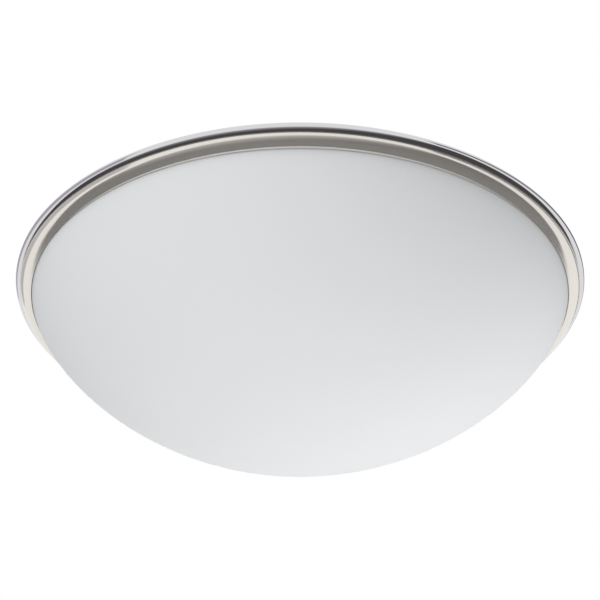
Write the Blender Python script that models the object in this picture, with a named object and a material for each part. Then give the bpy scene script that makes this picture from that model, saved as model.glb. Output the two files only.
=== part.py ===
"""Flush ceiling light: beaded trim ring, opal glass dome and a two-lamp back pan.

The ceiling is the plane z = 0 and the light hangs below it, centred on the Z axis.
All lengths are in metres.
"""

import math

import bmesh
import bpy
from mathutils import Vector

# Shared
OVERALL_RADIUS = 0.200
FIT_GAP = 0.0003
CUT_OVERRUN = 0.002
MERGE_DISTANCE = 0.000001
RING_SEGMENTS = 48
BARREL_SEGMENTS = 16
BORE_SEGMENTS = 12
RIVET_SEGMENTS = 8

# Trim ring, spun from one sheet
RING_SHEET = 0.0008
RING_CEILING_GAP = 0.001
RING_PAN_GAP = 0.0008
BEAD_RADIUS = 0.0034
BAND_REACH = 0.0116
BAND_DROP = 0.0065
SEAT_TURN = math.radians(62)
BEAD_STEPS = 8
BAND_STEPS = 5
BEAD_INSIDE_STEPS = 3
BAND_INSIDE_STEPS = 2

# Glass dome
GLASS_WALL = 0.0035
GLASS_LIP_GAP = 0.0006
DOME_DEPTH = 0.1033
DOME_POWER = 1.48
DOME_STEPS = 12
DOME_INSIDE_STEPS = 7
FLANGE_REACH = 0.0042
FLANGE_EDGE = 0.0032
FLANGE_TOP_GAP = 0.001
FLANGE_CHAMFER = 0.0005

# Gasket between the flange and the lip
GASKET_THICKNESS = 0.001
GASKET_SETBACK = 0.0009

# Back pan
PAN_SHEET = 0.001
PAN_SETBACK = 0.009
PAN_RIM_GAP = 0.0005
PAN_BEND_RADIUS = 0.002
RIB_END_MARGIN = 0.002
RIB_TOP_RADIUS = 0.0130
RIB_FOOT_RADIUS = 0.0185
RIB_END_STEPS = 7
KEYHOLE_SPACING = 0.088
KEYHOLE_HEAD_RADIUS = 0.005
KEYHOLE_SLOT_WIDTH = 0.0052
KEYHOLE_SLOT_REACH = 0.008

# Cable entry
CABLE_HOLE_RADIUS = 0.008
GROMMET_BORE_RADIUS = 0.005
GROMMET_RIB_GAP = 0.0049
GROMMET_LIP = 0.0026
GROMMET_LIP_THICKNESS = 0.0015
GROMMET_CHAMFER = 0.0006

# Spring catches
CATCH_COUNT = 3
CATCH_FIRST_ANGLE = math.radians(90)
CATCH_SHEET = 0.0005
CATCH_NOSE_REACH = 0.0040
CATCH_NOSE_TIP = 0.0020
CATCH_NOSE_BASE = 0.0055
CATCH_TAIL = 0.0095
CATCH_LEAF = 0.026
CATCH_FOOT_LENGTH = 0.014
CATCH_FOOT_WIDTH = 0.010
WINDOW_SIDE_GAP = 0.0015
CATCH_RIVET_SETBACK = 0.0035

# Rivets and screws
RIVET_RADIUS = 0.0016
RIVET_HEAD_RADIUS = 0.0030
RIVET_HEAD_HEIGHT = 0.0011
HOLDER_SCREW_RADIUS = 0.0015
HOLDER_SCREW_HEAD_RADIUS = 0.0030
HOLDER_SCREW_HEAD_HEIGHT = 0.0018
HOLDER_SCREW_DEPTH = 0.008

# Where the two lamps lie
LAMP_PLATE_GAP = 0.005
LAMP_MIDDLE_GAP = 0.015
LAMP_BACK_OFFSET = 0.060

# Lampholder brackets
BRACKET_SHEET = 0.0012
BRACKET_WIDTH = 0.028
BRACKET_FOOT = 0.027
BRACKET_BEND = 0.0024
BRACKET_BELOW_AXIS = 0.016
BRACKET_CORNER = 0.008
BRACKET_RIVET_SPACING = 0.016

# Porcelain lampholders
HOLDER_WALL = 0.0062
HOLDER_RIM_MARGIN = 0.0012
HOLDER_NECK_STEP = 0.004
HOLDER_NECK_LENGTH = 0.011
HOLDER_SHOULDER = 0.004
HOLDER_CHAMFER = 0.001
HOLDER_FLOOR = 0.0135
HOLDER_PITCH = 0.008
SHELL_SHEET = 0.00045
SHELL_CAP_GAP = 0.0004
SHELL_HOLE_RADIUS = 0.0085
SHELL_SETBACK = 0.0015
TONGUE_SHEET = 0.0005
TONGUE_WIDTH = 0.006
TONGUE_RISE = 0.0022
TONGUE_EDGE_GAP = 0.0013

# Bulbs
BULB_RADIUS = 0.030
BULB_NECK_STEP = 0.0008
BULB_NECK_LENGTH = 0.0032
BULB_FILLET_RADIUS = 0.040
BULB_WALL = 0.001
BULB_FILLET_STEPS = 3
BULB_CROWN_STEPS = 5
CAP_LENGTH = 0.027
CAP_RADIUS = 0.0132
CAP_SHEET = 0.0005
CAP_NECK_DEPTH = 0.008
CAP_END_RADIUS = 0.0103
CAP_END_TAPER = 0.003
INSULATOR_HEIGHT = 0.0036
INSULATOR_END_RADIUS = 0.0055
CONTACT_RADIUS = 0.0042
CONTACT_HEIGHT = 0.0014

# Terminal block
BLOCK_RIB_GAP = 0.0045
BLOCK_LENGTH = 0.018
BLOCK_HEIGHT = 0.015
BLOCK_WALL = 0.001
BLOCK_GROOVE_DEPTH = 0.008
BLOCK_EDGE = 0.0006
BLOCK_BORE_GAP = 0.00045
BLOCK_BORE_DEPTH = 0.0067
BLOCK_WELL_GAP = 0.0004
INSERT_LENGTH = 0.0115
INSERT_BORE_RADIUS = 0.0013
TERMINAL_SCREW_RADIUS = 0.0013
TERMINAL_SCREW_HEAD_RADIUS = 0.0018
TERMINAL_SCREW_HEAD_HEIGHT = 0.0012
TERMINAL_SCREW_SPACING = 0.0060
TERMINAL_SCREW_RECESS = 0.0012
TERMINAL_SCREW_BITE = 0.0010
BLOCK_SCREW_RADIUS = 0.0014
BLOCK_SCREW_HEAD_RADIUS = 0.0021
BLOCK_SCREW_HEAD_HEIGHT = 0.0015

# Protective earth
EARTH_LEAD_SPAN = 0.018
EARTH_SCREW_RADIUS = 0.0019
EARTH_SCREW_HEAD_RADIUS = 0.0040
EARTH_SCREW_HEAD_HEIGHT = 0.0022
EARTH_WASHER_MARGIN = 0.0002
EARTH_WASHER_THICKNESS = 0.0006
LUG_RADIUS = 0.0040
LUG_SHEET = 0.0008
LUG_TONGUE_WIDTH = 0.0034
LUG_TONGUE_REACH = 0.0085
LUG_BARREL_RADIUS = 0.0019
LUG_BARREL_LENGTH = 0.0065
LUG_BORE_DEPTH = 0.0045

# Leads
LEAD_RADIUS = 0.0009
LEAD_PAIR_GAP = 0.00035
LEAD_HOLDER_DEPTH = 0.0032
LEAD_STRAIGHT = 0.005
LEAD_SPAN_STEPS = 2
LEAD_ROUTES = {
    "live_lead_1": (
        (-0.075, 0.050, -0.041), (-0.079, 0.041, -0.035), (-0.078, 0.031, -0.026), (-0.071, 0.0235, -0.016),
        (-0.058, 0.020, -0.0102), (-0.036, 0.0195, -0.0093), (0, 0.0195, -0.0093), (0.030, 0.0195, -0.0093),
        (0.046, 0.0195, -0.0097), (0.0525, 0.0175, -0.0108), (0.0525, 0.0138, -0.0121),
    ),
    "neutral_lead_1": (
        (-0.072, 0.034, -0.041), (-0.0735, 0.027, -0.036), (-0.070, 0.0215, -0.027), (-0.061, 0.0195, -0.0185),
        (-0.048, 0.019, -0.014), (-0.028, 0.019, -0.013), (0, 0.019, -0.013), (0.030, 0.019, -0.013),
        (0.042, 0.0186, -0.014), (0.050, 0.014, -0.0185), (0.053, 0.004, -0.0225), (0.052, -0.006, -0.020),
        (0.0485, -0.0112, -0.0162),
    ),
    "live_lead_2": (
        (0.0725, -0.034, -0.041), (0.0745, -0.026, -0.036), (0.071, -0.012, -0.028), (0.063, 0.002, -0.021),
        (0.0535, 0.0106, -0.0162),
    ),
    "neutral_lead_2": (
        (0.075, -0.050, -0.040), (0.0775, -0.041, -0.031), (0.072, -0.029, -0.022), (0.062, -0.018, -0.0155),
        (0.053, -0.0126, -0.0131),
    ),
}

# Heights and radii that follow from the sizes above
RING_TOP = -RING_CEILING_GAP
BEAD_CENTRE = Vector((OVERALL_RADIUS - BEAD_RADIUS, RING_TOP - BEAD_RADIUS))
CREASE_HEIGHT = BEAD_CENTRE.y - BEAD_RADIUS
LIP_EDGE = Vector((OVERALL_RADIUS - BAND_REACH, CREASE_HEIGHT - BAND_DROP))
BAND_WIDTH = BEAD_CENTRE.x - LIP_EDGE.x


def band_point(turn, inset=0.0):
    """Point on the curved band, from the crease (0) to the lip (a quarter turn), inset into the sheet."""
    point = Vector((LIP_EDGE.x + BAND_WIDTH * math.cos(turn), CREASE_HEIGHT - BAND_DROP * math.sin(turn)))
    outward = Vector((math.cos(turn) / BAND_WIDTH, -math.sin(turn) / BAND_DROP)).normalized()
    return point - outward * inset


def seat_height(radius, lift=0.0):
    """Height of the nearly flat seat inside the lip, plus a lift."""
    edge = band_point(math.pi / 2, RING_SHEET)
    seat = band_point(SEAT_TURN, RING_SHEET)
    return edge.y + (radius - edge.x) * (seat.y - edge.y) / (seat.x - edge.x) + lift


GLASS_NECK_RADIUS = LIP_EDGE.x - GLASS_LIP_GAP
FLANGE_RADIUS = GLASS_NECK_RADIUS + FLANGE_REACH
FLANGE_LIFT = GASKET_THICKNESS + 2 * FIT_GAP
FLANGE_TOP = seat_height(FLANGE_RADIUS, FLANGE_LIFT) + FLANGE_EDGE
PLATE_BOTTOM = FLANGE_TOP + FLANGE_TOP_GAP
PLATE_TOP = PLATE_BOTTOM + PAN_SHEET
RIM_TOP = -PAN_RIM_GAP
PAN_WALL_RADIUS = OVERALL_RADIUS - PAN_SETBACK
PAN_WALL_INNER = PAN_WALL_RADIUS - PAN_SHEET
CABLE_HOLE_OFFSET = RIB_FOOT_RADIUS + GROMMET_RIB_GAP + CABLE_HOLE_RADIUS + GROMMET_LIP
LAMP_AXIS_DEPTH = BULB_RADIUS + LAMP_PLATE_GAP - PLATE_BOTTOM
LAMP_SIDE_OFFSET = BULB_RADIUS + LAMP_MIDDLE_GAP
SHELL_INNER_RADIUS = CAP_RADIUS + SHELL_CAP_GAP
SHELL_OUTER_RADIUS = SHELL_INNER_RADIUS + SHELL_SHEET
BULB_TIP = HOLDER_FLOOR + TONGUE_RISE + TONGUE_SHEET + 2 * FIT_GAP
BULB_NECK_RADIUS = CAP_RADIUS + BULB_NECK_STEP
HOLDER_INNER_RADIUS = SHELL_OUTER_RADIUS + FIT_GAP
HOLDER_RADIUS = HOLDER_INNER_RADIUS + HOLDER_WALL
HOLDER_NECK_RADIUS = HOLDER_RADIUS - HOLDER_NECK_STEP
HOLDER_LENGTH = BULB_TIP + CAP_LENGTH + HOLDER_RIM_MARGIN
LEAD_PAIR_OFFSET = LEAD_RADIUS + LEAD_PAIR_GAP
BLOCK_OFFSET = RIB_FOOT_RADIUS + BLOCK_RIB_GAP + BLOCK_LENGTH / 2
BLOCK_BORE_RADIUS = LEAD_PAIR_OFFSET + LEAD_RADIUS + BLOCK_BORE_GAP
BLOCK_WELL_RADIUS = TERMINAL_SCREW_HEAD_RADIUS + BLOCK_WELL_GAP
BLOCK_POLE_WIDTH = 2 * (BLOCK_BORE_RADIUS + BLOCK_WALL)
BLOCK_PITCH = BLOCK_POLE_WIDTH + 2 * (BLOCK_SCREW_HEAD_RADIUS + FIT_GAP)
EARTH_WASHER_RADIUS = EARTH_SCREW_HEAD_RADIUS + EARTH_WASHER_MARGIN
LUG_BARREL_START = EARTH_WASHER_RADIUS + FIT_GAP
EARTH_OFFSET = BLOCK_OFFSET + BLOCK_LENGTH / 2 + EARTH_LEAD_SPAN + LUG_BARREL_LENGTH + LUG_BARREL_START


def clear_scene():
    """Start from an empty scene."""
    for thing in list(bpy.data.objects):
        bpy.data.objects.remove(thing, do_unlink=True)


def finish(name, colour, roughness, metallic=0.0):
    """A plain surface with one colour, roughness and metallic value."""
    material = bpy.data.materials.new(name)
    material.use_nodes = True
    shader = material.node_tree.nodes["Principled BSDF"]
    shader.inputs["Base Color"].default_value = (*colour, 1.0)
    shader.inputs["Roughness"].default_value = roughness
    shader.inputs["Metallic"].default_value = metallic
    return material


def make_finishes():
    """Every material of the light, by name."""
    return {
        "nickel": finish("satin_nickel", (0.72, 0.69, 0.64), 0.24, 1.0),
        "opal": finish("opal_glass", (0.86, 0.88, 0.89), 0.45),
        "enamel": finish("white_enamel", (0.88, 0.88, 0.86), 0.35),
        "gasket": finish("gasket_silicone", (0.80, 0.80, 0.78), 0.70),
        "spring": finish("spring_steel", (0.55, 0.55, 0.56), 0.30, 1.0),
        "zinc": finish("zinc_plate", (0.66, 0.67, 0.68), 0.35, 1.0),
        "porcelain": finish("porcelain", (0.90, 0.89, 0.85), 0.22),
        "brass": finish("brass", (0.76, 0.60, 0.30), 0.30, 1.0),
        "bulb": finish("frosted_bulb_glass", (0.93, 0.93, 0.91), 0.40),
        "aluminium": finish("cap_aluminium", (0.80, 0.80, 0.81), 0.32, 1.0),
        "vitrite": finish("black_vitrite", (0.03, 0.03, 0.035), 0.25),
        "solder": finish("contact_solder", (0.62, 0.61, 0.59), 0.40, 1.0),
        "rubber": finish("grommet_rubber", (0.04, 0.04, 0.04), 0.75),
        "polyamide": finish("terminal_polyamide", (0.87, 0.87, 0.84), 0.50),
        "brown": finish("brown_insulation", (0.22, 0.09, 0.035), 0.45),
        "blue": finish("blue_insulation", (0.04, 0.16, 0.50), 0.45),
        "green": finish("green_insulation", (0.20, 0.45, 0.10), 0.45),
    }


def arc(centre, radius, start, end, steps):
    """Points on an arc, both ends included, with angles in degrees from the outward direction."""
    points = []
    for step in range(steps + 1):
        angle = math.radians(start + (end - start) * step / steps)
        points.append(Vector((centre.x + radius * math.cos(angle), centre.y + radius * math.sin(angle))))
    return points


def circle(radius, steps, x=0.0, y=0.0):
    """Corners of a round outline, anticlockwise, with a flat side facing outward."""
    half_side = 180 / steps
    return arc(Vector((x, y)), radius, half_side, 360 + half_side, steps)[:-1]


def rectangle(left, right, near, far):
    """Corners of a rectangle, anticlockwise."""
    return [Vector(corner) for corner in ((left, near), (right, near), (right, far), (left, far))]


def place(name, shape, material, parent=None, location=(0, 0, 0), rotation=(0, 0, 0), smooth=True):
    """Turn finished mesh data into a named object."""
    bmesh.ops.remove_doubles(shape, verts=shape.verts, dist=MERGE_DISTANCE)
    bmesh.ops.recalc_face_normals(shape, faces=shape.faces)
    mesh = bpy.data.meshes.new(name)
    shape.to_mesh(mesh)
    shape.free()
    if smooth:
        mesh.shade_smooth()
        mesh.set_sharp_from_angle(angle=math.radians(35))
    if material:
        mesh.materials.append(material)
    thing = bpy.data.objects.new(name, mesh)
    thing.location = location
    thing.rotation_euler = rotation
    thing.parent = parent
    bpy.context.scene.collection.objects.link(thing)
    return thing


def turned(name, outline, segments, material, **where):
    """Body of revolution about its own Z axis, from a closed (radius, height) outline."""
    shape = bmesh.new()
    corners = [shape.verts.new((point[0], 0, point[1])) for point in outline]
    sides = []
    for here, there in zip(corners, corners[1:] + corners[:1]):
        if here.co.x > 0 or there.co.x > 0:
            sides.append(shape.edges.new((here, there)))
    bmesh.ops.spin(shape, geom=corners + sides, cent=(0, 0, 0), axis=(0, 0, 1), angle=math.tau,
                   steps=segments, use_merge=True)
    return place(name, shape, material, **where)


def add_prism(shape, outline, low, high):
    """Add a closed prism over an (x, y) outline to a mesh in work."""
    face = shape.faces.new([shape.verts.new((point[0], point[1], low)) for point in outline])
    grown = bmesh.ops.extrude_face_region(shape, geom=[face], use_keep_orig=True)
    top = [item for item in grown["geom"] if isinstance(item, bmesh.types.BMVert)]
    bmesh.ops.translate(shape, verts=top, vec=(0, 0, high - low))


def prism(name, outline, low, high, material, **where):
    """Closed prism over an (x, y) outline."""
    shape = bmesh.new()
    add_prism(shape, outline, low, high)
    return place(name, shape, material, smooth=False, **where)


def drills(name, holes, low, high, segments=BORE_SEGMENTS, **where):
    """One cutter for several round holes, each given as (x, y, radius)."""
    shape = bmesh.new()
    for x, y, radius in holes:
        add_prism(shape, circle(radius, segments, x, y), low, high)
    return place(name, shape, None, smooth=False, **where)


def lofted(name, low_outline, low, high_outline, high, material, **where):
    """Closed body between two outlines with the same number of corners."""
    shape = bmesh.new()
    low_loop = [shape.verts.new((point[0], point[1], low)) for point in low_outline]
    high_loop = [shape.verts.new((point[0], point[1], high)) for point in high_outline]
    shape.faces.new(low_loop)
    shape.faces.new(high_loop)
    count = len(low_loop)
    for index in range(count):
        following = (index + 1) % count
        shape.faces.new((low_loop[index], low_loop[following], high_loop[following], high_loop[index]))
    return place(name, shape, material, **where)


def combine(body, other, operation="DIFFERENCE"):
    """Cut another shape out of a body, or join it on, and keep the other shape as a hidden guide."""
    change = body.modifiers.new(other.name, "BOOLEAN")
    change.operation = operation
    change.solver = "EXACT"
    change.object = other
    other.hide_render = True
    other.display_type = "WIRE"


def empty(name, location=(0, 0, 0), rotation=(0, 0, 0), parent=None):
    """A frame that pieces hang on."""
    frame = bpy.data.objects.new(name, None)
    frame.location = location
    frame.rotation_euler = rotation
    frame.parent = parent
    bpy.context.scene.collection.objects.link(frame)
    return frame


def make_trim_ring(finishes, cover):
    """Spun ring: inward top flange, half-round bead, crease and the band that curves in to the lip."""
    flange_edge = PAN_WALL_RADIUS + RING_PAN_GAP
    outside = [Vector((flange_edge, RING_TOP))]
    outside += arc(BEAD_CENTRE, BEAD_RADIUS, 90, -90, BEAD_STEPS)
    outside += [band_point(math.pi / 2 * step / BAND_STEPS) for step in range(1, BAND_STEPS + 1)]
    inside = [band_point(math.pi / 2, RING_SHEET)]
    steps = range(BAND_INSIDE_STEPS, -1, -1)
    inside += [band_point(SEAT_TURN * step / BAND_INSIDE_STEPS, RING_SHEET) for step in steps]
    inside += arc(BEAD_CENTRE, BEAD_RADIUS - RING_SHEET, -90, 90, BEAD_INSIDE_STEPS)
    inside.append(Vector((flange_edge, RING_TOP - RING_SHEET)))
    return turned("trim_ring", outside + inside, RING_SEGMENTS, finishes["nickel"], parent=cover)


def dome_point(turn, inset=0.0):
    """Point on the glass at a turn from the crown (0) to the neck (1), inset square to the outside."""
    angle = turn * math.pi / 2
    point = Vector((GLASS_NECK_RADIUS * math.sin(angle), LIP_EDGE.y - DOME_DEPTH * math.cos(angle) ** DOME_POWER))
    run = GLASS_NECK_RADIUS * math.cos(angle)
    climb = DOME_DEPTH * DOME_POWER * math.cos(angle) ** (DOME_POWER - 1) * math.sin(angle)
    inward = Vector((-climb, run)).normalized()
    return point + inward * inset


def make_glass_dome(finishes, cover):
    """Opal glass of even wall: crown, shoulder, upright neck and the flange that rests in the ring."""
    mouth_radius = GLASS_NECK_RADIUS - GLASS_WALL
    outside = [dome_point(step / DOME_STEPS) for step in range(DOME_STEPS)]
    outside.append(Vector((GLASS_NECK_RADIUS, LIP_EDGE.y)))
    outside.append(Vector((GLASS_NECK_RADIUS, seat_height(GLASS_NECK_RADIUS, FLANGE_LIFT))))
    outside.append(Vector((FLANGE_RADIUS, seat_height(FLANGE_RADIUS, FLANGE_LIFT))))
    outside.append(Vector((FLANGE_RADIUS, FLANGE_TOP - FLANGE_CHAMFER)))
    outside.append(Vector((FLANGE_RADIUS - FLANGE_CHAMFER, FLANGE_TOP)))
    inside = [Vector((mouth_radius, FLANGE_TOP)), Vector((mouth_radius, LIP_EDGE.y))]
    steps = range(DOME_INSIDE_STEPS - 1, -1, -1)
    inside += [dome_point(step / DOME_INSIDE_STEPS, GLASS_WALL) for step in steps]
    outside[0].x = 0.0
    inside[-1].x = 0.0
    return turned("glass_dome", outside + inside, RING_SEGMENTS, finishes["opal"], parent=cover)


def make_glass_gasket(finishes, cover):
    """Strip inside the lip that the glass flange rests on."""
    inner = LIP_EDGE.x + GASKET_SETBACK
    outer = FLANGE_RADIUS
    top = FIT_GAP + GASKET_THICKNESS
    outline = [
        Vector((inner, seat_height(inner, FIT_GAP))),
        Vector((outer, seat_height(outer, FIT_GAP))),
        Vector((outer, seat_height(outer, top))),
        Vector((inner, seat_height(inner, top))),
    ]
    return turned("glass_gasket", outline, RING_SEGMENTS, finishes["gasket"], parent=cover)


def stadium(radius):
    """Round-ended outline along Y for the fixing rib."""
    half_length = KEYHOLE_SPACING / 2 + RIB_END_MARGIN
    far = arc(Vector((0, half_length)), radius, 0, 180, RIB_END_STEPS)
    near = arc(Vector((0, -half_length)), radius, 180, 360, RIB_END_STEPS)
    return far + near


def keyhole(side):
    """Outline of a keyhole whose slot runs sideways, so that the pan locks with a turn."""
    half_slot = KEYHOLE_SLOT_WIDTH / 2
    opening = math.degrees(math.asin(half_slot / KEYHOLE_HEAD_RADIUS))
    centre = Vector((0, 0))
    slot_end = Vector((KEYHOLE_SLOT_REACH, 0))
    outline = arc(centre, KEYHOLE_HEAD_RADIUS, opening, 360 - opening, BORE_SEGMENTS)
    outline += arc(slot_end, half_slot, -90, 90, BORE_SEGMENTS // 2)
    return [Vector((side * point.x, side * (point.y + KEYHOLE_SPACING / 2))) for point in outline]


def catch_angles():
    """Directions in which the spring catches stand."""
    return [CATCH_FIRST_ANGLE + math.tau * index / CATCH_COUNT for index in range(CATCH_COUNT)]


def catch_leaf_radius():
    """Outer radius of the leaf, clear of the bend at the foot of the wall."""
    return PAN_WALL_RADIUS - PAN_BEND_RADIUS - FIT_GAP


def catch_leaf_bottom():
    """Lower edge of the leaf, half way up its foot's sheet."""
    return PLATE_TOP + FIT_GAP + CATCH_SHEET / 2


def catch_rivet_place():
    """Rivet centre of a catch in its own frame: along the leaf, then out from the axis."""
    along = -(CATCH_LEAF - CATCH_FOOT_WIDTH / 2)
    return Vector((along, catch_leaf_radius() - CATCH_FOOT_LENGTH + CATCH_RIVET_SETBACK))


def make_back_pan(finishes):
    """Pressed pan: plate, bent-up wall with three windows, raised fixing rib and all its holes."""
    bend = Vector((PAN_WALL_RADIUS - PAN_BEND_RADIUS, PLATE_BOTTOM + PAN_BEND_RADIUS))
    outline = [Vector((0, PLATE_TOP))]
    outline += arc(bend, PAN_BEND_RADIUS - PAN_SHEET, -90, 0, 1)
    outline += [Vector((PAN_WALL_INNER, RIM_TOP)), Vector((PAN_WALL_RADIUS, RIM_TOP))]
    outline += arc(bend, PAN_BEND_RADIUS, 0, -90, 2)
    outline.append(Vector((0, PLATE_BOTTOM)))
    pan = turned("back_pan", outline, RING_SEGMENTS, finishes["enamel"])

    slope = (RIB_FOOT_RADIUS - RIB_TOP_RADIUS) / -PLATE_TOP
    middle = (PLATE_TOP + PLATE_BOTTOM) / 2
    rib = lofted("rib_outside", stadium(RIB_TOP_RADIUS - slope * middle), middle,
                 stadium(RIB_TOP_RADIUS), 0.0, finishes["enamel"])
    combine(pan, rib, "UNION")
    mouth = PLATE_BOTTOM - CUT_OVERRUN
    ceiling_side = -PAN_SHEET
    hollow = lofted("rib_inside", stadium(RIB_TOP_RADIUS - slope * mouth - PAN_SHEET), mouth,
                    stadium(RIB_TOP_RADIUS - slope * ceiling_side - PAN_SHEET), ceiling_side, None)
    combine(pan, hollow)

    keyholes = bmesh.new()
    for side in (1, -1):
        add_prism(keyholes, keyhole(side), ceiling_side - CUT_OVERRUN, CUT_OVERRUN)
    combine(pan, place("keyhole_cutter", keyholes, None, smooth=False))

    holes = [(-CABLE_HOLE_OFFSET, 0, CABLE_HOLE_RADIUS)]
    holes.append((BLOCK_OFFSET, BLOCK_PITCH / 2, BLOCK_SCREW_RADIUS + FIT_GAP))
    holes.append((EARTH_OFFSET, 0, EARTH_SCREW_RADIUS + FIT_GAP))
    for side in (1, -1):
        for x, y in bracket_rivet_places(side):
            holes.append((x, y, RIVET_RADIUS + FIT_GAP))
    for angle in catch_angles():
        spot = turn_about_axis(catch_rivet_place(), angle)
        holes.append((spot.x, spot.y, RIVET_RADIUS + FIT_GAP))
    combine(pan, drills("plate_drills", holes, PLATE_BOTTOM - CUT_OVERRUN, PLATE_TOP + CUT_OVERRUN))

    windows = bmesh.new()
    half_window = CATCH_NOSE_BASE + WINDOW_SIDE_GAP
    lowest = catch_leaf_bottom() - FIT_GAP
    highest = catch_nose_top() + FIT_GAP
    for angle in catch_angles():
        box = rectangle(-half_window, half_window, catch_leaf_radius(), PAN_WALL_RADIUS + CUT_OVERRUN)
        add_prism(windows, [turn_about_axis(corner, angle) for corner in box], lowest, highest)
    combine(pan, place("window_cutter", windows, None, smooth=False))
    return pan


def turn_about_axis(point, angle):
    """Carry a point given as (along the wall, out from the axis) to a direction round the pan."""
    out = Vector((math.cos(angle), math.sin(angle)))
    along = Vector((-out.y, out.x))
    return out * point.y - along * point.x


def catch_nose_top():
    """Height of the nose's upper edge, just under the ring's inward flange."""
    return RING_TOP - RING_SHEET - FIT_GAP


def wrap(along, radius):
    """Point on the wall's inner curve at a distance along it."""
    angle = math.pi / 2 - along / PAN_WALL_RADIUS
    return Vector((radius * math.cos(angle), radius * math.sin(angle)))


def make_spring_catches(finishes):
    """Leaf springs behind the wall, whose noses pass the windows and carry the ring's flange."""
    leaf_radius = catch_leaf_radius()
    nose_radius = PAN_WALL_RADIUS + CATCH_NOSE_REACH
    stations = [
        (-CATCH_LEAF, leaf_radius),
        (-(CATCH_LEAF + CATCH_NOSE_BASE) / 2, leaf_radius),
        (-CATCH_NOSE_BASE, leaf_radius),
        (-CATCH_NOSE_TIP, nose_radius),
        (CATCH_NOSE_TIP, nose_radius),
        (CATCH_NOSE_BASE, leaf_radius),
        (CATCH_TAIL, leaf_radius),
    ]
    outer = [wrap(along, radius) for along, radius in stations]
    inner = [wrap(along, radius - CATCH_SHEET) for along, radius in stations]
    foot_low = PLATE_TOP + FIT_GAP
    nose_top = catch_nose_top()
    rivet = catch_rivet_place()
    foot_edge = leaf_radius - CATCH_SHEET / 2
    foot_end = leaf_radius - CATCH_FOOT_LENGTH
    foot_sides = -CATCH_LEAF + CATCH_SHEET, -CATCH_LEAF + CATCH_FOOT_WIDTH
    foot = [wrap(foot_sides[0], foot_edge), wrap(foot_sides[1], foot_edge)]
    foot += [wrap(foot_sides[1], foot_end), wrap(foot_sides[0], foot_end)]
    plate_stack = PLATE_BOTTOM - FIT_GAP, foot_low + CATCH_SHEET + FIT_GAP
    for number, angle in enumerate(catch_angles(), start=1):
        frame = empty(f"catch_frame_{number}", rotation=(0, 0, angle - math.pi / 2))
        leaf = prism(f"catch_spring_{number}", outer + inner[::-1], catch_leaf_bottom(), nose_top,
                     finishes["spring"], parent=frame)
        base = prism(f"catch_foot_{number}", foot, foot_low, foot_low + CATCH_SHEET, None, parent=frame)
        combine(leaf, base, "UNION")
        combine(leaf, drills(f"catch_hole_{number}", [(rivet.x, rivet.y, RIVET_RADIUS + FIT_GAP)],
                             foot_low - CUT_OVERRUN, foot_low + CUT_OVERRUN, parent=frame))
        make_rivet(f"catch_rivet_{number}", plate_stack, finishes["zinc"],
                   parent=frame, location=(rivet.x, rivet.y, 0))


def make_rivet(name, stack, material, **where):
    """Rivet with a head on each side of a stack of sheets, given by the two heights it clamps."""
    low, high = stack
    outline = [
        Vector((0, low - RIVET_HEAD_HEIGHT)),
        Vector((RIVET_HEAD_RADIUS * 2 / 3, low - RIVET_HEAD_HEIGHT)),
        Vector((RIVET_HEAD_RADIUS, low)),
        Vector((RIVET_RADIUS, low)),
        Vector((RIVET_RADIUS, high)),
        Vector((RIVET_HEAD_RADIUS, high)),
        Vector((RIVET_HEAD_RADIUS * 2 / 3, high + RIVET_HEAD_HEIGHT)),
        Vector((0, high + RIVET_HEAD_HEIGHT)),
    ]
    return turned(name, outline, RIVET_SEGMENTS, material, **where)


def make_screw(name, head_radius, head_height, radius, length, material, **where):
    """Pan-head screw with the underside of its head at its origin and its shank along +Z."""
    outline = [
        Vector((0, -head_height)),
        Vector((head_radius * 2 / 3, -head_height)),
        Vector((head_radius, -head_height / 3)),
        Vector((head_radius, 0)),
        Vector((radius, 0)),
        Vector((radius, length)),
        Vector((0, length)),
    ]
    return turned(name, outline, RIVET_SEGMENTS, material, **where)


def make_cable_grommet(finishes):
    """Rubber bush whose two lips grip the edge of the cable hole."""
    bore = GROMMET_BORE_RADIUS
    neck = CABLE_HOLE_RADIUS - FIT_GAP
    lip = CABLE_HOLE_RADIUS + GROMMET_LIP
    upper = PLATE_TOP + FIT_GAP
    lower = PLATE_BOTTOM - FIT_GAP
    top = upper + GROMMET_LIP_THICKNESS
    bottom = lower - GROMMET_LIP_THICKNESS
    outline = [
        Vector((bore, bottom)),
        Vector((lip - GROMMET_CHAMFER, bottom)),
        Vector((lip, bottom + GROMMET_CHAMFER)),
        Vector((lip, lower)),
        Vector((neck, lower)),
        Vector((neck, upper)),
        Vector((lip, upper)),
        Vector((lip, top - GROMMET_CHAMFER)),
        Vector((lip - GROMMET_CHAMFER, top)),
        Vector((bore, top)),
    ]
    turned("cable_grommet", outline, BORE_SEGMENTS, finishes["rubber"], location=(-CABLE_HOLE_OFFSET, 0, 0))


def lamp_frame(number):
    """Frame of one lamp: origin at the back of its holder, Z along the bulb, X towards the floor."""
    side = 1 if number == 1 else -1
    turn = 0 if number == 1 else math.pi
    return empty(f"lamp_frame_{number}", (-side * LAMP_BACK_OFFSET, side * LAMP_SIDE_OFFSET, -LAMP_AXIS_DEPTH),
                 (0, math.pi / 2, turn))


def bracket_foot_middle():
    """Distance behind the holder's back of the middle of the bracket's foot."""
    return FIT_GAP + (BRACKET_SHEET + BRACKET_FOOT) / 2


def bracket_rivet_places(side):
    """World (x, y) of the two rivets of a bracket."""
    x = -side * (LAMP_BACK_OFFSET + bracket_foot_middle())
    half = BRACKET_RIVET_SPACING / 2
    return [(x, side * (LAMP_SIDE_OFFSET - half)), (x, side * (LAMP_SIDE_OFFSET + half))]


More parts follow.
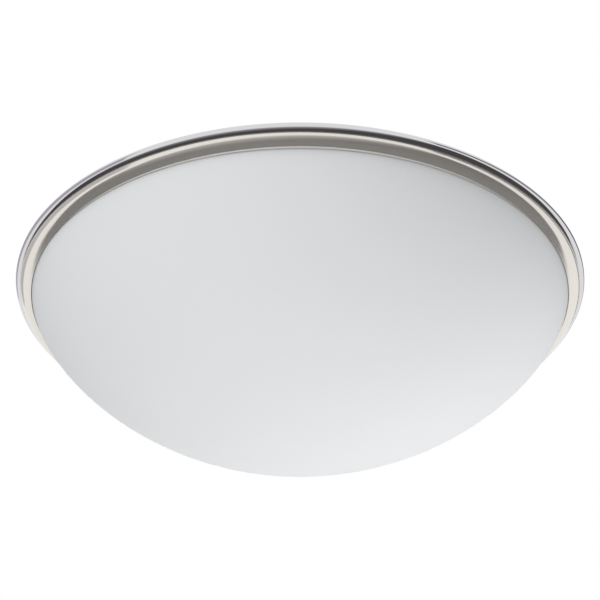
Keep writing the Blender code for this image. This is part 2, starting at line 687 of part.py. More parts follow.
def make_bracket(number, frame, finishes):
    """Bent strip: a foot against the plate and an upright leg behind the lampholder."""
    foot_face = -(LAMP_AXIS_DEPTH + PLATE_BOTTOM - FIT_GAP)
    front = -FIT_GAP
    back = front - BRACKET_SHEET
    foot_end = front - BRACKET_FOOT
    outer_bend = Vector((front - BRACKET_BEND, foot_face + BRACKET_BEND))
    outline = [Vector((foot_end, foot_face))]
    outline += arc(outer_bend, BRACKET_BEND, -90, 0, 3)
    outline += [Vector((front, BRACKET_BELOW_AXIS)), Vector((back, BRACKET_BELOW_AXIS))]
    outline += arc(outer_bend, BRACKET_BEND - BRACKET_SHEET, 0, -90, 2)
    outline.append(Vector((foot_end, foot_face + BRACKET_SHEET)))
    half = BRACKET_WIDTH / 2

    shape = bmesh.new()
    near = [shape.verts.new((point.y, -half, point.x)) for point in outline]
    far = [shape.verts.new((point.y, half, point.x)) for point in outline]
    shape.faces.new(near)
    shape.faces.new(far)
    for index in range(len(near)):
        following = (index + 1) % len(near)
        shape.faces.new((near[index], near[following], far[following], far[index]))
    lower_corners = [edge for edge in shape.edges if is_free_corner(edge)]
    bmesh.ops.bevel(shape, geom=lower_corners, offset=BRACKET_CORNER, segments=3, profile=0.5, affect="EDGES")
    bracket = place(f"holder_bracket_{number}", shape, finishes["zinc"], parent=frame)

    fixings = [(HOLDER_PITCH, 0, HOLDER_SCREW_RADIUS + FIT_GAP), (-HOLDER_PITCH, 0, HOLDER_SCREW_RADIUS + FIT_GAP)]
    fixings += [(0, side * HOLDER_PITCH, LEAD_RADIUS * 2) for side in (1, -1)]
    combine(bracket, drills(f"bracket_bores_{number}", fixings, back - CUT_OVERRUN, front + CUT_OVERRUN,
                            RIVET_SEGMENTS, parent=frame))
    rivets = [(bracket_foot_middle(), side * BRACKET_RIVET_SPACING / 2, RIVET_RADIUS + FIT_GAP) for side in (1, -1)]
    combine(bracket, drills(f"bracket_rivet_bores_{number}", rivets, foot_face - CUT_OVERRUN,
                            foot_face + BRACKET_SHEET + CUT_OVERRUN, RIVET_SEGMENTS,
                            parent=frame, rotation=(0, math.pi / 2, 0)))


def is_free_corner(edge):
    """True for the two short edges at the lower corners of the bracket's upright leg."""
    run = edge.verts[1].co - edge.verts[0].co
    lowest = min(vert.co.x for vert in edge.verts)
    return abs(run.z) > BRACKET_SHEET / 2 and abs(run.y) < FIT_GAP and lowest > BRACKET_BELOW_AXIS - FIT_GAP


def make_lampholder(number, frame, finishes):
    """Porcelain body with its screw shell and the sprung centre contact."""
    shoulder = HOLDER_NECK_LENGTH + HOLDER_SHOULDER
    outline = [
        Vector((0, 0)),
        Vector((HOLDER_NECK_RADIUS - HOLDER_CHAMFER, 0)),
        Vector((HOLDER_NECK_RADIUS, HOLDER_CHAMFER)),
        Vector((HOLDER_NECK_RADIUS, HOLDER_NECK_LENGTH)),
        Vector((HOLDER_RADIUS, shoulder)),
        Vector((HOLDER_RADIUS, HOLDER_LENGTH - HOLDER_CHAMFER)),
        Vector((HOLDER_RADIUS - HOLDER_CHAMFER, HOLDER_LENGTH)),
        Vector((HOLDER_INNER_RADIUS, HOLDER_LENGTH)),
        Vector((HOLDER_INNER_RADIUS, HOLDER_FLOOR)),
        Vector((0, HOLDER_FLOOR)),
    ]
    body = turned(f"lampholder_{number}", outline, BARREL_SEGMENTS, finishes["porcelain"], parent=frame)
    bores = [(side * HOLDER_PITCH, 0, HOLDER_SCREW_RADIUS + FIT_GAP) for side in (1, -1)]
    bores += [(0, side * HOLDER_PITCH, LEAD_RADIUS + FIT_GAP) for side in (1, -1)]
    combine(body, drills(f"holder_bores_{number}", bores, -CUT_OVERRUN, HOLDER_SCREW_DEPTH + FIT_GAP,
                         RIVET_SEGMENTS, parent=frame))

    shell_low = HOLDER_FLOOR + FIT_GAP
    shell_top = HOLDER_LENGTH - SHELL_SETBACK
    shell = [
        Vector((SHELL_HOLE_RADIUS, shell_low)),
        Vector((SHELL_OUTER_RADIUS, shell_low)),
        Vector((SHELL_OUTER_RADIUS, shell_top)),
        Vector((SHELL_INNER_RADIUS, shell_top)),
        Vector((SHELL_INNER_RADIUS, shell_low + SHELL_SHEET)),
        Vector((SHELL_HOLE_RADIUS, shell_low + SHELL_SHEET)),
    ]
    turned(f"screw_shell_{number}", shell, BARREL_SEGMENTS, finishes["brass"], parent=frame)

    crest = shell_low + TONGUE_RISE
    reach = SHELL_HOLE_RADIUS - TONGUE_EDGE_GAP
    lower_side = [
        Vector((-reach, shell_low)),
        Vector((-reach / 2, shell_low)),
        Vector((-reach / 4, crest)),
        Vector((reach / 4, crest)),
        Vector((reach, (shell_low + crest) / 2)),
    ]
    upper_side = [point + Vector((0, TONGUE_SHEET)) for point in reversed(lower_side)]
    half = TONGUE_WIDTH / 2
    shape = bmesh.new()
    add_prism(shape, lower_side + upper_side, -half, half)
    for vert in shape.verts:
        vert.co = Vector((vert.co.x, vert.co.z, vert.co.y))
    place(f"contact_tongue_{number}", shape, finishes["brass"], parent=frame, smooth=False)

    head_seat = -(2 * FIT_GAP + BRACKET_SHEET)
    for place_name, side in (("lower", 1), ("upper", -1)):
        make_screw(f"holder_screw_{number}_{place_name}", HOLDER_SCREW_HEAD_RADIUS, HOLDER_SCREW_HEAD_HEIGHT,
                   HOLDER_SCREW_RADIUS, HOLDER_SCREW_DEPTH - head_seat, finishes["zinc"],
                   parent=frame, location=(side * HOLDER_PITCH, 0, head_seat))


def make_bulb(number, frame, finishes):
    """Screw-cap bulb that hangs on its own frame, because it screws out along its axis."""
    seat = empty(f"bulb_frame_{number}", parent=frame)
    button = [
        Vector((0, BULB_TIP)),
        Vector((CONTACT_RADIUS * 2 / 3, BULB_TIP)),
        Vector((CONTACT_RADIUS, BULB_TIP + CONTACT_HEIGHT / 2)),
        Vector((CONTACT_RADIUS, BULB_TIP + CONTACT_HEIGHT)),
        Vector((0, BULB_TIP + CONTACT_HEIGHT)),
    ]
    turned(f"bulb_contact_{number}", button, BORE_SEGMENTS, finishes["solder"], parent=seat)

    glass_low = BULB_TIP + CONTACT_HEIGHT + FIT_GAP
    glass_high = glass_low + INSULATOR_HEIGHT
    hole = CAP_END_RADIUS - CAP_SHEET
    insulator = [
        Vector((0, glass_low)),
        Vector((INSULATOR_END_RADIUS, glass_low)),
        Vector((hole - FIT_GAP, glass_high - INSULATOR_HEIGHT / 3)),
        Vector((hole - FIT_GAP, glass_high)),
        Vector((0, glass_high)),
    ]
    turned(f"bulb_insulator_{number}", insulator, BORE_SEGMENTS, finishes["vitrite"], parent=seat)

    rim = BULB_TIP + CAP_LENGTH
    end = glass_high - INSULATOR_HEIGHT / 3
    cap = [
        Vector((CAP_END_RADIUS, end)),
        Vector((CAP_RADIUS, end + CAP_END_TAPER)),
        Vector((CAP_RADIUS, rim)),
        Vector((CAP_RADIUS - CAP_SHEET, rim)),
        Vector((CAP_RADIUS - CAP_SHEET, end + CAP_END_TAPER)),
        Vector((hole, end)),
    ]
    turned(f"bulb_cap_{number}", cap, BARREL_SEGMENTS, finishes["aluminium"], parent=seat)

    fillet = Vector((BULB_NECK_RADIUS + BULB_FILLET_RADIUS, rim + FIT_GAP + BULB_NECK_LENGTH))
    rise = math.sqrt((BULB_RADIUS + BULB_FILLET_RADIUS) ** 2 - fillet.x ** 2)
    crown = Vector((0, fillet.y + rise))
    meeting = math.degrees(math.atan2(rise, fillet.x))
    neck = CAP_RADIUS - CAP_SHEET - FIT_GAP
    neck_low = rim - CAP_NECK_DEPTH
    outside = [Vector((neck, neck_low)), Vector((neck, rim + FIT_GAP)), Vector((BULB_NECK_RADIUS, rim + FIT_GAP))]
    outside += arc(fillet, BULB_FILLET_RADIUS, 180, 180 - meeting, BULB_FILLET_STEPS)
    outside += arc(crown, BULB_RADIUS, -meeting, 90, BULB_CROWN_STEPS)[1:]
    outside[-1].x = 0.0
    inside = arc(crown, BULB_RADIUS - BULB_WALL, 90, -meeting, BULB_CROWN_STEPS - 1)
    inside[0].x = 0.0
    inside += arc(fillet, BULB_FILLET_RADIUS + BULB_WALL, 180 - meeting, 180, BULB_FILLET_STEPS - 1)[1:]
    inside.append(Vector((neck - BULB_WALL, rim - FIT_GAP)))
    inside.append(Vector((neck - BULB_WALL, neck_low)))
    turned(f"bulb_glass_{number}", outside + inside, BARREL_SEGMENTS, finishes["bulb"], parent=seat)


def make_lamps(finishes):
    """The two lamps lie side by side and point opposite ways."""
    stack = PLATE_BOTTOM - FIT_GAP - BRACKET_SHEET - FIT_GAP, PLATE_TOP + FIT_GAP
    for number, side in ((1, 1), (2, -1)):
        frame = lamp_frame(number)
        make_bracket(number, frame, finishes)
        make_lampholder(number, frame, finishes)
        make_bulb(number, frame, finishes)
        for place_name, (x, y) in zip(("inner", "outer"), bracket_rivet_places(side)):
            make_rivet(f"bracket_rivet_{number}_{place_name}", stack, finishes["zinc"], location=(x, y, 0))


def block_levels():
    """Top, bore axis and bottom heights of the terminal block."""
    top = PLATE_BOTTOM - FIT_GAP
    bottom = top - BLOCK_HEIGHT
    return top, top - BLOCK_BORE_DEPTH, bottom


def make_terminal_block(finishes):
    """Three-pole screw block: grooved body, tube inserts, two screws a pole and its fixing screw."""
    top, bore_height, bottom = block_levels()
    half_pole = BLOCK_POLE_WIDTH / 2
    groove_floor = bottom + BLOCK_GROOVE_DEPTH
    end = BLOCK_PITCH + half_pole
    outline = [Vector((-end, top)), Vector((-end, bottom))]
    for pole in (-1, 0, 1):
        outline.append(Vector((pole * BLOCK_PITCH + half_pole, bottom)))
        if pole < 1:
            outline.append(Vector((pole * BLOCK_PITCH + half_pole, groove_floor)))
            outline.append(Vector(((pole + 1) * BLOCK_PITCH - half_pole, groove_floor)))
            outline.append(Vector(((pole + 1) * BLOCK_PITCH - half_pole, bottom)))
    outline.append(Vector((end, top)))
    half_length = BLOCK_LENGTH / 2
    shape = bmesh.new()
    add_prism(shape, outline, -half_length, half_length)
    for vert in shape.verts:
        vert.co = Vector((vert.co.z, vert.co.x, vert.co.y))
    where = {"location": (BLOCK_OFFSET, 0, 0)}
    block = place("terminal_block", shape, finishes["polyamide"], smooth=False, **where)
    edge = block.modifiers.new("moulded_edge", "BEVEL")
    edge.width = BLOCK_EDGE
    edge.segments = 1
    edge.limit_method = "ANGLE"

    poles = [pole * BLOCK_PITCH for pole in (-1, 0, 1)]
    bores = [(0, y, BLOCK_BORE_RADIUS) for y in poles]
    across = {"location": (BLOCK_OFFSET, 0, bore_height), "rotation": (0, math.pi / 2, 0)}
    combine(block, drills("block_bores", bores, -half_length - CUT_OVERRUN, half_length + CUT_OVERRUN,
                          RIVET_SEGMENTS, **across))
    pair = [side * TERMINAL_SCREW_SPACING / 2 for side in (-1, 1)]
    wells = [(x, y, BLOCK_WELL_RADIUS) for y in poles for x in pair]
    combine(block, drills("block_wells", wells, bottom - CUT_OVERRUN, bore_height, RIVET_SEGMENTS, **where))
    fixing = [(0, BLOCK_PITCH / 2, BLOCK_SCREW_RADIUS + FIT_GAP)]
    combine(block, drills("block_fixing_bore", fixing, bottom, top + CUT_OVERRUN, RIVET_SEGMENTS, **where))

    insert_radius = BLOCK_BORE_RADIUS - FIT_GAP
    half_insert = INSERT_LENGTH / 2
    tube = [
        Vector((INSERT_BORE_RADIUS, -half_insert)),
        Vector((insert_radius, -half_insert)),
        Vector((insert_radius, half_insert)),
        Vector((INSERT_BORE_RADIUS, half_insert)),
    ]
    shank_top = bore_height - TERMINAL_SCREW_BITE
    head_seat = bottom + TERMINAL_SCREW_RECESS + TERMINAL_SCREW_HEAD_HEIGHT
    for pole_name, y in zip(("live", "earth", "neutral"), reversed(poles)):
        insert = turned(f"terminal_insert_{pole_name}", tube, RIVET_SEGMENTS, finishes["brass"],
                        location=(BLOCK_OFFSET, y, bore_height), rotation=(0, math.pi / 2, 0))
        screw_holes = [(x, y, TERMINAL_SCREW_RADIUS + FIT_GAP) for x in pair]
        combine(insert, drills(f"insert_holes_{pole_name}", screw_holes, bottom, shank_top,
                               RIVET_SEGMENTS, **where))
        for place_name, x in zip(("mains", "lamp"), pair):
            make_screw(f"terminal_screw_{pole_name}_{place_name}", TERMINAL_SCREW_HEAD_RADIUS,
                       TERMINAL_SCREW_HEAD_HEIGHT, TERMINAL_SCREW_RADIUS, shank_top - head_seat,
                       finishes["zinc"], location=(BLOCK_OFFSET + x, y, head_seat))
    make_screw("terminal_block_screw", BLOCK_SCREW_HEAD_RADIUS, BLOCK_SCREW_HEAD_HEIGHT, BLOCK_SCREW_RADIUS,
               PLATE_TOP + PAN_SHEET - groove_floor, finishes["zinc"],
               location=(BLOCK_OFFSET, BLOCK_PITCH / 2, groove_floor - FIT_GAP))


def lug_levels():
    """Underside and top of the earth lug's ring, and the height of its barrel's axis."""
    top = PLATE_BOTTOM - FIT_GAP - EARTH_WASHER_THICKNESS - FIT_GAP
    bottom = top - LUG_SHEET
    return top, bottom, PLATE_BOTTOM - FIT_GAP - LUG_BARREL_RADIUS


def make_earth_point(finishes):
    """Screw, toothed washer and crimped ring lug that bond the pan to the earth pole."""
    top, bottom, barrel_height = lug_levels()
    washer_top = PLATE_BOTTOM - FIT_GAP
    hole = EARTH_SCREW_RADIUS + FIT_GAP
    washer = [
        Vector((hole, washer_top - EARTH_WASHER_THICKNESS)),
        Vector((EARTH_WASHER_RADIUS, washer_top - EARTH_WASHER_THICKNESS)),
        Vector((EARTH_WASHER_RADIUS, washer_top)),
        Vector((hole, washer_top)),
    ]
    where = {"location": (EARTH_OFFSET, 0, 0)}
    turned("earth_washer", washer, BORE_SEGMENTS, finishes["spring"], **where)

    half_tongue = LUG_TONGUE_WIDTH / 2
    opening = math.degrees(math.asin(half_tongue / LUG_RADIUS))
    plate = arc(Vector((0, 0)), LUG_RADIUS, -180 + opening, 180 - opening, BORE_SEGMENTS)
    plate += [Vector((-LUG_TONGUE_REACH, half_tongue)), Vector((-LUG_TONGUE_REACH, -half_tongue))]
    lug = prism("earth_lug", plate, bottom, top, finishes["brass"], **where)
    barrel_end = -LUG_BARREL_START
    barrel = [
        Vector((0, barrel_end)),
        Vector((LUG_BARREL_RADIUS, barrel_end)),
        Vector((LUG_BARREL_RADIUS, barrel_end - LUG_BARREL_LENGTH)),
        Vector((0, barrel_end - LUG_BARREL_LENGTH)),
    ]
    along = {"location": (EARTH_OFFSET, 0, barrel_height), "rotation": (0, math.pi / 2, 0)}
    combine(lug, turned("lug_barrel", barrel, RIVET_SEGMENTS, None, **along), "UNION")
    lead_hole = [(0, 0, LEAD_RADIUS + FIT_GAP)]
    mouth = barrel_end - LUG_BARREL_LENGTH
    combine(lug, drills("lug_bore", lead_hole, mouth - CUT_OVERRUN, mouth + LUG_BORE_DEPTH,
                        RIVET_SEGMENTS, **along))
    combine(lug, drills("lug_hole", [(0, 0, hole)], bottom - CUT_OVERRUN, top + CUT_OVERRUN, **where))
    make_screw("earth_screw", EARTH_SCREW_HEAD_RADIUS, EARTH_SCREW_HEAD_HEIGHT, EARTH_SCREW_RADIUS,
               PLATE_TOP + PAN_SHEET - bottom, finishes["zinc"],
               location=(EARTH_OFFSET, 0, bottom - FIT_GAP))


def smooth_route(points):
    """Read a smooth curve through the route's own points."""
    route = []
    count = len(points)
    for index in range(count - 1):
        before = points[max(index - 1, 0)]
        here = points[index]
        there = points[index + 1]
        after = points[min(index + 2, count - 1)]
        for step in range(LEAD_SPAN_STEPS):
            t = step / LEAD_SPAN_STEPS
            bend = (there - before) * t + (before * 2 - here * 5 + there * 4 - after) * t ** 2
            bend += (here * 3 - before - there * 3 + after) * t ** 3
            route.append(here + bend / 2)
    route.append(points[-1])
    return route


def make_lead(name, points, material):
    """Insulated lead along a smooth route."""
    route = smooth_route([Vector(point) for point in points])
    curve = bpy.data.curves.new(name, "CURVE")
    curve.dimensions = "3D"
    curve.bevel_depth = LEAD_RADIUS
    curve.bevel_resolution = 1
    curve.use_fill_caps = True
    spline = curve.splines.new("POLY")
    spline.points.add(len(route) - 1)
    for spot, point in zip(spline.points, route):
        spot.co = (*point, 1.0)
    curve.materials.append(material)
    lead = bpy.data.objects.new(name, curve)
    bpy.context.scene.collection.objects.link(lead)


def make_leads(finishes):
    """Lamp leads from each holder's back to the block, and the short earth lead."""
    top, bore_height, bottom = block_levels()
    face = BLOCK_OFFSET + BLOCK_LENGTH / 2
    insert_end = BLOCK_OFFSET + INSERT_LENGTH / 2 + FIT_GAP
    for number, side in ((1, 1), (2, -1)):
        for wire, pole, material in (("live", 1, "brown"), ("neutral", -1, "blue")):
            beside = side * LAMP_SIDE_OFFSET + pole * HOLDER_PITCH
            offsets = -LEAD_HOLDER_DEPTH, 0, BRACKET_SHEET + LEAD_STRAIGHT
            points = [(-side * (LAMP_BACK_OFFSET + offset), beside, -LAMP_AXIS_DEPTH) for offset in offsets]
            points += LEAD_ROUTES[f"{wire}_lead_{number}"]
            end_height = bore_height + side * pole * LEAD_PAIR_OFFSET
            points += [(x, pole * BLOCK_PITCH, end_height) for x in (face + LEAD_STRAIGHT, face, insert_end)]
            make_lead(f"{wire}_lead_{number}", points, finishes[material])

    top, bottom, barrel_height = lug_levels()
    mouth = EARTH_OFFSET - LUG_BARREL_START - LUG_BARREL_LENGTH
    earth = [(x, 0, bore_height) for x in (insert_end, face, face + LEAD_STRAIGHT)]
    lug_end = mouth + LUG_BORE_DEPTH - FIT_GAP
    earth += [(x, 0, barrel_height) for x in (mouth - LEAD_STRAIGHT, mouth, lug_end)]
    make_lead("earth_lead", earth, finishes["green"])


def build():
    """Make the whole light."""
    clear_scene()
    finishes = make_finishes()
    cover = empty("cover_frame")
    make_trim_ring(finishes, cover)
    make_glass_dome(finishes, cover)
    make_glass_gasket(finishes, cover)
    make_back_pan(finishes)
    make_spring_catches(finishes)
    make_cable_grommet(finishes)
    make_lamps(finishes)
    make_terminal_block(finishes)
    make_earth_point(finishes)
    make_leads(finishes)


build()
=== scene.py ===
"""Flush ceiling light: the finished look of every piece.

The ceiling is the plane z = 0 and the light hangs below it, centred on the Z axis.
All lengths are in metres. Each lamp is drawn on its own axis: origin at the back of the
lampholder, Z along the bulb, X towards the floor.
"""

import math

import bmesh
import bpy
from mathutils import Matrix, Vector


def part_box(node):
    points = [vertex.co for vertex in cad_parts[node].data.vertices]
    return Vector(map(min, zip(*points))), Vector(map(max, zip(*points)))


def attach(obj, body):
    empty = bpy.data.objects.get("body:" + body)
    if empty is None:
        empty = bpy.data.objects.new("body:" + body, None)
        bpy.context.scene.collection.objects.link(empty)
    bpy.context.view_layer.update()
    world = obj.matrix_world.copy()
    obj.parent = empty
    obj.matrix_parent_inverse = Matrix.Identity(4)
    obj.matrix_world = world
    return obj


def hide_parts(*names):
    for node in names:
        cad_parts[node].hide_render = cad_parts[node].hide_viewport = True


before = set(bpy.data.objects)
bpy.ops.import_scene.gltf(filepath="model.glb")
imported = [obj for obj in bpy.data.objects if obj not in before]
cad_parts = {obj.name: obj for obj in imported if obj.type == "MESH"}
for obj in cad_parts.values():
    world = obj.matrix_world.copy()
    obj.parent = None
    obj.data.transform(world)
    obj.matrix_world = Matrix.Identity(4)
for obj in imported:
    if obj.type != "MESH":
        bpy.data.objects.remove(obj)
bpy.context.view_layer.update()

# Shared: gap between resting pieces, how far a cutter stands out of its work, steps round large pieces
FIT_GAP = 0.0003
OVERCUT = 0.002
ROUND_STEPS = 288
QUARTER = math.pi / 2
UP = Vector((0, 0, 1))
ALONG_X = Vector((1, 0, 0))
ALONG_Y = Vector((0, 1, 0))

# Trim ring
RING_RADIUS = 0.200
RING_TOP = -0.001
RING_SHEET = 0.0008
RING_CORNER = RING_SHEET * 0.3
FLANGE_INNER_RADIUS = 0.1918
BEAD_RADIUS = 0.0034
BEAD_STEPS = 28
BEAD_INSIDE_STEPS = 14
CREASE_HEIGHT = RING_TOP - 2 * BEAD_RADIUS
BAND_DROP = 0.0065
BAND_STEPS = 24
BAND_INSIDE_STEPS = 18
SEAT_TURN = math.radians(62)
LIP_TURN = math.radians(70)
LIP_EDGE = Vector((0.1884, -0.0143))
LIP_ROUNDING = ((0, 0), (-0.00014, 0.00002), (-0.00021, 0.00010), (-0.00024, 0.00030))

# Glass bowl and its gasket
GLASS_NECK_RADIUS = 0.18815
GLASS_FLANGE_RADIUS = 0.1920
GLASS_WALL = 0.0035
BOWL_DEPTH = 0.1033
BOWL_POWER = 1.48
BOWL_STEPS = 56
BOWL_INSIDE_STEPS = 36
GASKET_THICKNESS = 0.001
GASKET_SETBACK = 0.0009
GASKET_CORNER = 0.0003

# Back pan
PAN_SHEET = 0.001
PAN_WALL_RADIUS = 0.191
PAN_RIM = -0.0005
PAN_RIM_CORNER = 0.0003
PAN_BEND_RADIUS = 0.002
PLATE_LOOPS = (0.025, 0.150)
RIB_HALF_LENGTH = 0.046
RIB_CORE_RADIUS = 0.009
RIB_TOP_RADIUS = 0.0130
RIB_FOOT_RADIUS = 0.0185
KEYHOLE_OFFSET = 0.044
KEYHOLE_HEAD_RADIUS = 0.005
KEYHOLE_HALF_SLOT = 0.0026
KEYHOLE_SLOT_REACH = 0.008
EARTH_HOLE_RADIUS = 0.0022
BLOCK_HOLE_RADIUS = 0.0017
WINDOW_MARGIN = 0.0015
CABLE_HOLE_RADIUS = 0.008
GROMMET_BORE_RADIUS = 0.005
GROMMET_LIP = 0.0026
GROMMET_LIP_THICKNESS = 0.0015

# Spring catches
CATCH_ANGLES = (90, 210, 330)
CATCH_SHEET = 0.0005
CATCH_LEAF = 0.026
CATCH_TAIL = 0.0095
CATCH_NOSE_REACH = 0.0040
CATCH_NOSE_TIP = 0.0020
CATCH_NOSE_BASE = 0.0055
CATCH_FOOT_LENGTH = 0.014
CATCH_FOOT_WIDTH = 0.010
CATCH_FOLD = 0.0013

# Rivets, and how far a screw takes to reach its full thread
RIVET_RADIUS = 0.0016
RIVET_HEAD_RADIUS = 0.0030
RIVET_HEAD_HEIGHT = 0.0011
RIVET_TAIL_SHARE = 0.9
SCREW_THREAD_RUN_IN = 0.001

# Lamp brackets
LAMP_BACK_OFFSET = 0.060
LAMP_SIDE_OFFSET = 0.045
BRACKET_SHEET = 0.0012
BRACKET_WIDTH = 0.028
BRACKET_FOOT = 0.027
BRACKET_BEND = 0.0024
BRACKET_BELOW_AXIS = 0.016
BRACKET_CORNER = 0.008
HOLDER_PITCH = 0.008

# Lampholders: porcelain and screw shell
HOLDER_FLOOR = 0.0135
HOLDER_NECK_LENGTH = 0.011
HOLDER_NECK_INSET = 0.004
HOLDER_SHOULDER = 0.004
HOLDER_BORE_RADIUS = 0.0156
HOLDER_GROOVE = (0.0100, 0.0096, 0.0086, 0.0082)
HOLDER_GROOVE_DEPTH = 0.0005
SHELL_SHEET = 0.00045
SHELL_CLEARANCE = 0.0004
SHELL_HOLE_RADIUS = 0.0085
SHELL_SETBACK = 0.0015
SHELL_BEND_TOP = 0.0011
SHELL_WALL_START = 0.0012
SHELL_THREAD_DEPTH = 0.85
THREAD_PITCH = 0.00362
THREAD_DEPTH = 0.0013
THREAD_ROW = 0.00034

# Where a thread starts and is full, above the low end, and where it fades and ends, below the top
SHELL_THREAD = (SHELL_WALL_START, 0.0045, 0.0012, 0.0001)
CAP_THREAD = (0.0012, 0.0042, 0.0050, 0.0026)

# Centre contacts
TONGUE_RISE = 0.0022
TONGUE_SHEET = 0.0005
TONGUE_MARGIN = 0.0013
TONGUE_HALF_WIDTH = 0.003

# Bulbs
CONTACT_DOME_SHARE = 0.75
INSULATOR_TIP_RADIUS = 0.0055
INSULATOR_HEIGHT = 0.0036
INSULATOR_RIM = 0.0012
CAP_RADIUS = 0.0132
CAP_LENGTH = 0.027
CAP_SHEET = 0.0005
CAP_FOOT_RADIUS = 0.0103
CAP_CONE = ((0.0103, 0), (0.0112, 0.0006), (0.0124, 0.0018))
CAP_CONE_LENGTH = 0.003
BULB_RADIUS = 0.030
BULB_WALL = 0.001
BULB_FILLET_RADIUS = 0.040
BULB_WAIST_MARGIN = 0.0008
BULB_WAIST_LENGTH = 0.0032
BULB_NECK_LENGTH = 0.008

# Connector block
BLOCK_LENGTH = 0.018
BLOCK_HEIGHT = 0.015
BLOCK_GROOVE_DEPTH = 0.008
BLOCK_BORE_DEPTH = 0.0067
SCREW_WELL_RADIUS = 0.0022
TERMINAL_SCREW_SPACING = 0.0060
TUBE_BORE_RADIUS = 0.0013
TUBE_CORNER = 0.0002

# Earth point
WASHER_HOLE_RADIUS = 0.0022
WASHER_RING_SHARE = 0.80
TOOTH_MIDDLE_SHARE = 0.875
TOOTH_LENGTH_SHARE = 0.24
LUG_SHEET = 0.0008
LUG_RADIUS = 0.0040
LUG_TONGUE_HALF_WIDTH = 0.0017
LUG_TONGUE_END = -0.0085
BARREL_RADIUS = 0.0019
BARREL_LENGTH = 0.0065
BARREL_BORE_RADIUS = 0.0012
BARREL_BORE_DEPTH = 0.0045
CRIMP_DEPTH = 0.00045
CRIMP_PLACE = 0.45
CRIMP_WIDTH = 0.16
CRIMP_STEPS = 20

# Leads
LEAD_RADIUS = 0.0009
LEAD_PAIR_OFFSET = 0.00125
LEAD_TAIL = 0.0032
LEAD_STRAIGHT = 0.005
EARTH_LEAD_INSERTION = 0.0042


# Heights and places read from the frame

def middle(node):
    """Centre of a plain piece's box."""
    low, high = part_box(node)
    return (low + high) / 2


def span(node):
    """Size of a plain piece's box."""
    low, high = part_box(node)
    return high - low


PLATE_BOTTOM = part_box("cable_grommet")[0].z + GROMMET_LIP_THICKNESS + FIT_GAP
PLATE_TOP = PLATE_BOTTOM + PAN_SHEET
GLASS_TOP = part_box("glass_dome")[1].z
CABLE_HOLE_OFFSET = -middle("cable_grommet").x
BLOCK_OFFSET = middle("terminal_block").x
BLOCK_PITCH = middle("terminal_insert_live").y
BLOCK_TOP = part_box("terminal_block")[1].z
BORE_HEIGHT = BLOCK_TOP - BLOCK_BORE_DEPTH
EARTH_OFFSET = middle("earth_screw").x
LAMP_AXIS_HEIGHT = middle("lampholder_1").z
HOLDER_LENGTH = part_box("lampholder_1")[1].x + LAMP_BACK_OFFSET
HOLDER_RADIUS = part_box("lampholder_1")[1].z - LAMP_AXIS_HEIGHT
SHELL_FLOOR = HOLDER_FLOOR + FIT_GAP
BULB_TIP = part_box("bulb_contact_1")[0].x + LAMP_BACK_OFFSET
CONTACT_RADIUS = span("bulb_contact_1").y / 2
CONTACT_TOP = BULB_TIP + span("bulb_contact_1").x
INSULATOR_TOP = CONTACT_TOP + FIT_GAP + INSULATOR_HEIGHT
CAP_FOOT = INSULATOR_TOP - INSULATOR_RIM
CAP_RIM = BULB_TIP + CAP_LENGTH


# Node trees

def add(tree, kind, inputs=None, **settings):
    """Add a node with its settings, and set or link its inputs."""
    node = tree.nodes.new(kind)
    for name, value in settings.items():
        setattr(node, name, value)
    for key, value in (inputs or {}).items():
        if isinstance(value, bpy.types.NodeSocket):
            tree.links.new(value, node.inputs[key])
        else:
            node.inputs[key].default_value = value
    return node


def put(tree, kind, inputs=None, **settings):
    """Add a node and hand on its first output."""
    return add(tree, kind, inputs, **settings).outputs[0]


def calculate(tree, operation, *values):
    """One step of arithmetic."""
    return put(tree, "ShaderNodeMath", dict(enumerate(values)), operation=operation)


def product(tree, number, *factors):
    """Numbers multiplied in turn."""
    for factor in factors:
        number = calculate(tree, "MULTIPLY", number, factor)
    return number


def whole(tree, operation, *values):
    """One step of arithmetic with whole numbers."""
    return put(tree, "FunctionNodeIntegerMath", dict(enumerate(values)), operation=operation)


def combine(tree, **parts):
    """Vector from its X, Y and Z; what isn't given is zero."""
    return put(tree, "ShaderNodeCombineXYZ", parts)


def read(tree, name, kind="FLOAT"):
    """Number or direction that the points carry under a name."""
    return put(tree, "GeometryNodeInputNamedAttribute", {"Name": name}, data_type=kind)


def join(tree, *parts):
    """Several shapes as one."""
    node = add(tree, "GeometryNodeJoinGeometry")
    for part in parts:
        tree.links.new(part, node.inputs[0])
    return node.outputs[0]


def start_tree(name, inputs, outputs, kind="GeometryNodeTree"):
    """New node tree with named inputs, given as name, type and usual value, and named outputs."""
    tree = bpy.data.node_groups.new(name, kind)
    for label, socket_type, *usual in inputs:
        socket = tree.interface.new_socket(label, in_out="INPUT", socket_type="NodeSocket" + socket_type)
        if usual:
            socket.default_value = usual[0]
    for label, socket_type in outputs:
        tree.interface.new_socket(label, in_out="OUTPUT", socket_type="NodeSocket" + socket_type)
    return tree, tree.nodes.new("NodeGroupInput").outputs, tree.nodes.new("NodeGroupOutput").inputs


def start_piece_tree(name, *inputs):
    """New geometry tree that makes a piece and gives it a finish."""
    return start_tree(name, (*inputs, ("Finish", "Material")), (("Piece", "Geometry"),))


def end_piece_tree(tree, given, result, surface):
    """Realize what was instanced and give it its finish."""
    solid = put(tree, "GeometryNodeRealizeInstances", {0: surface})
    coated = put(tree, "GeometryNodeSetMaterial", {"Geometry": solid, "Material": given["Finish"]})
    tree.links.new(coated, result[0])
    return tree


SPIN_INPUTS = (("Segments", "Int", 96), ("Thread Pitch", "Float", THREAD_PITCH),
               ("Thread Depth", "Float", 0.0))


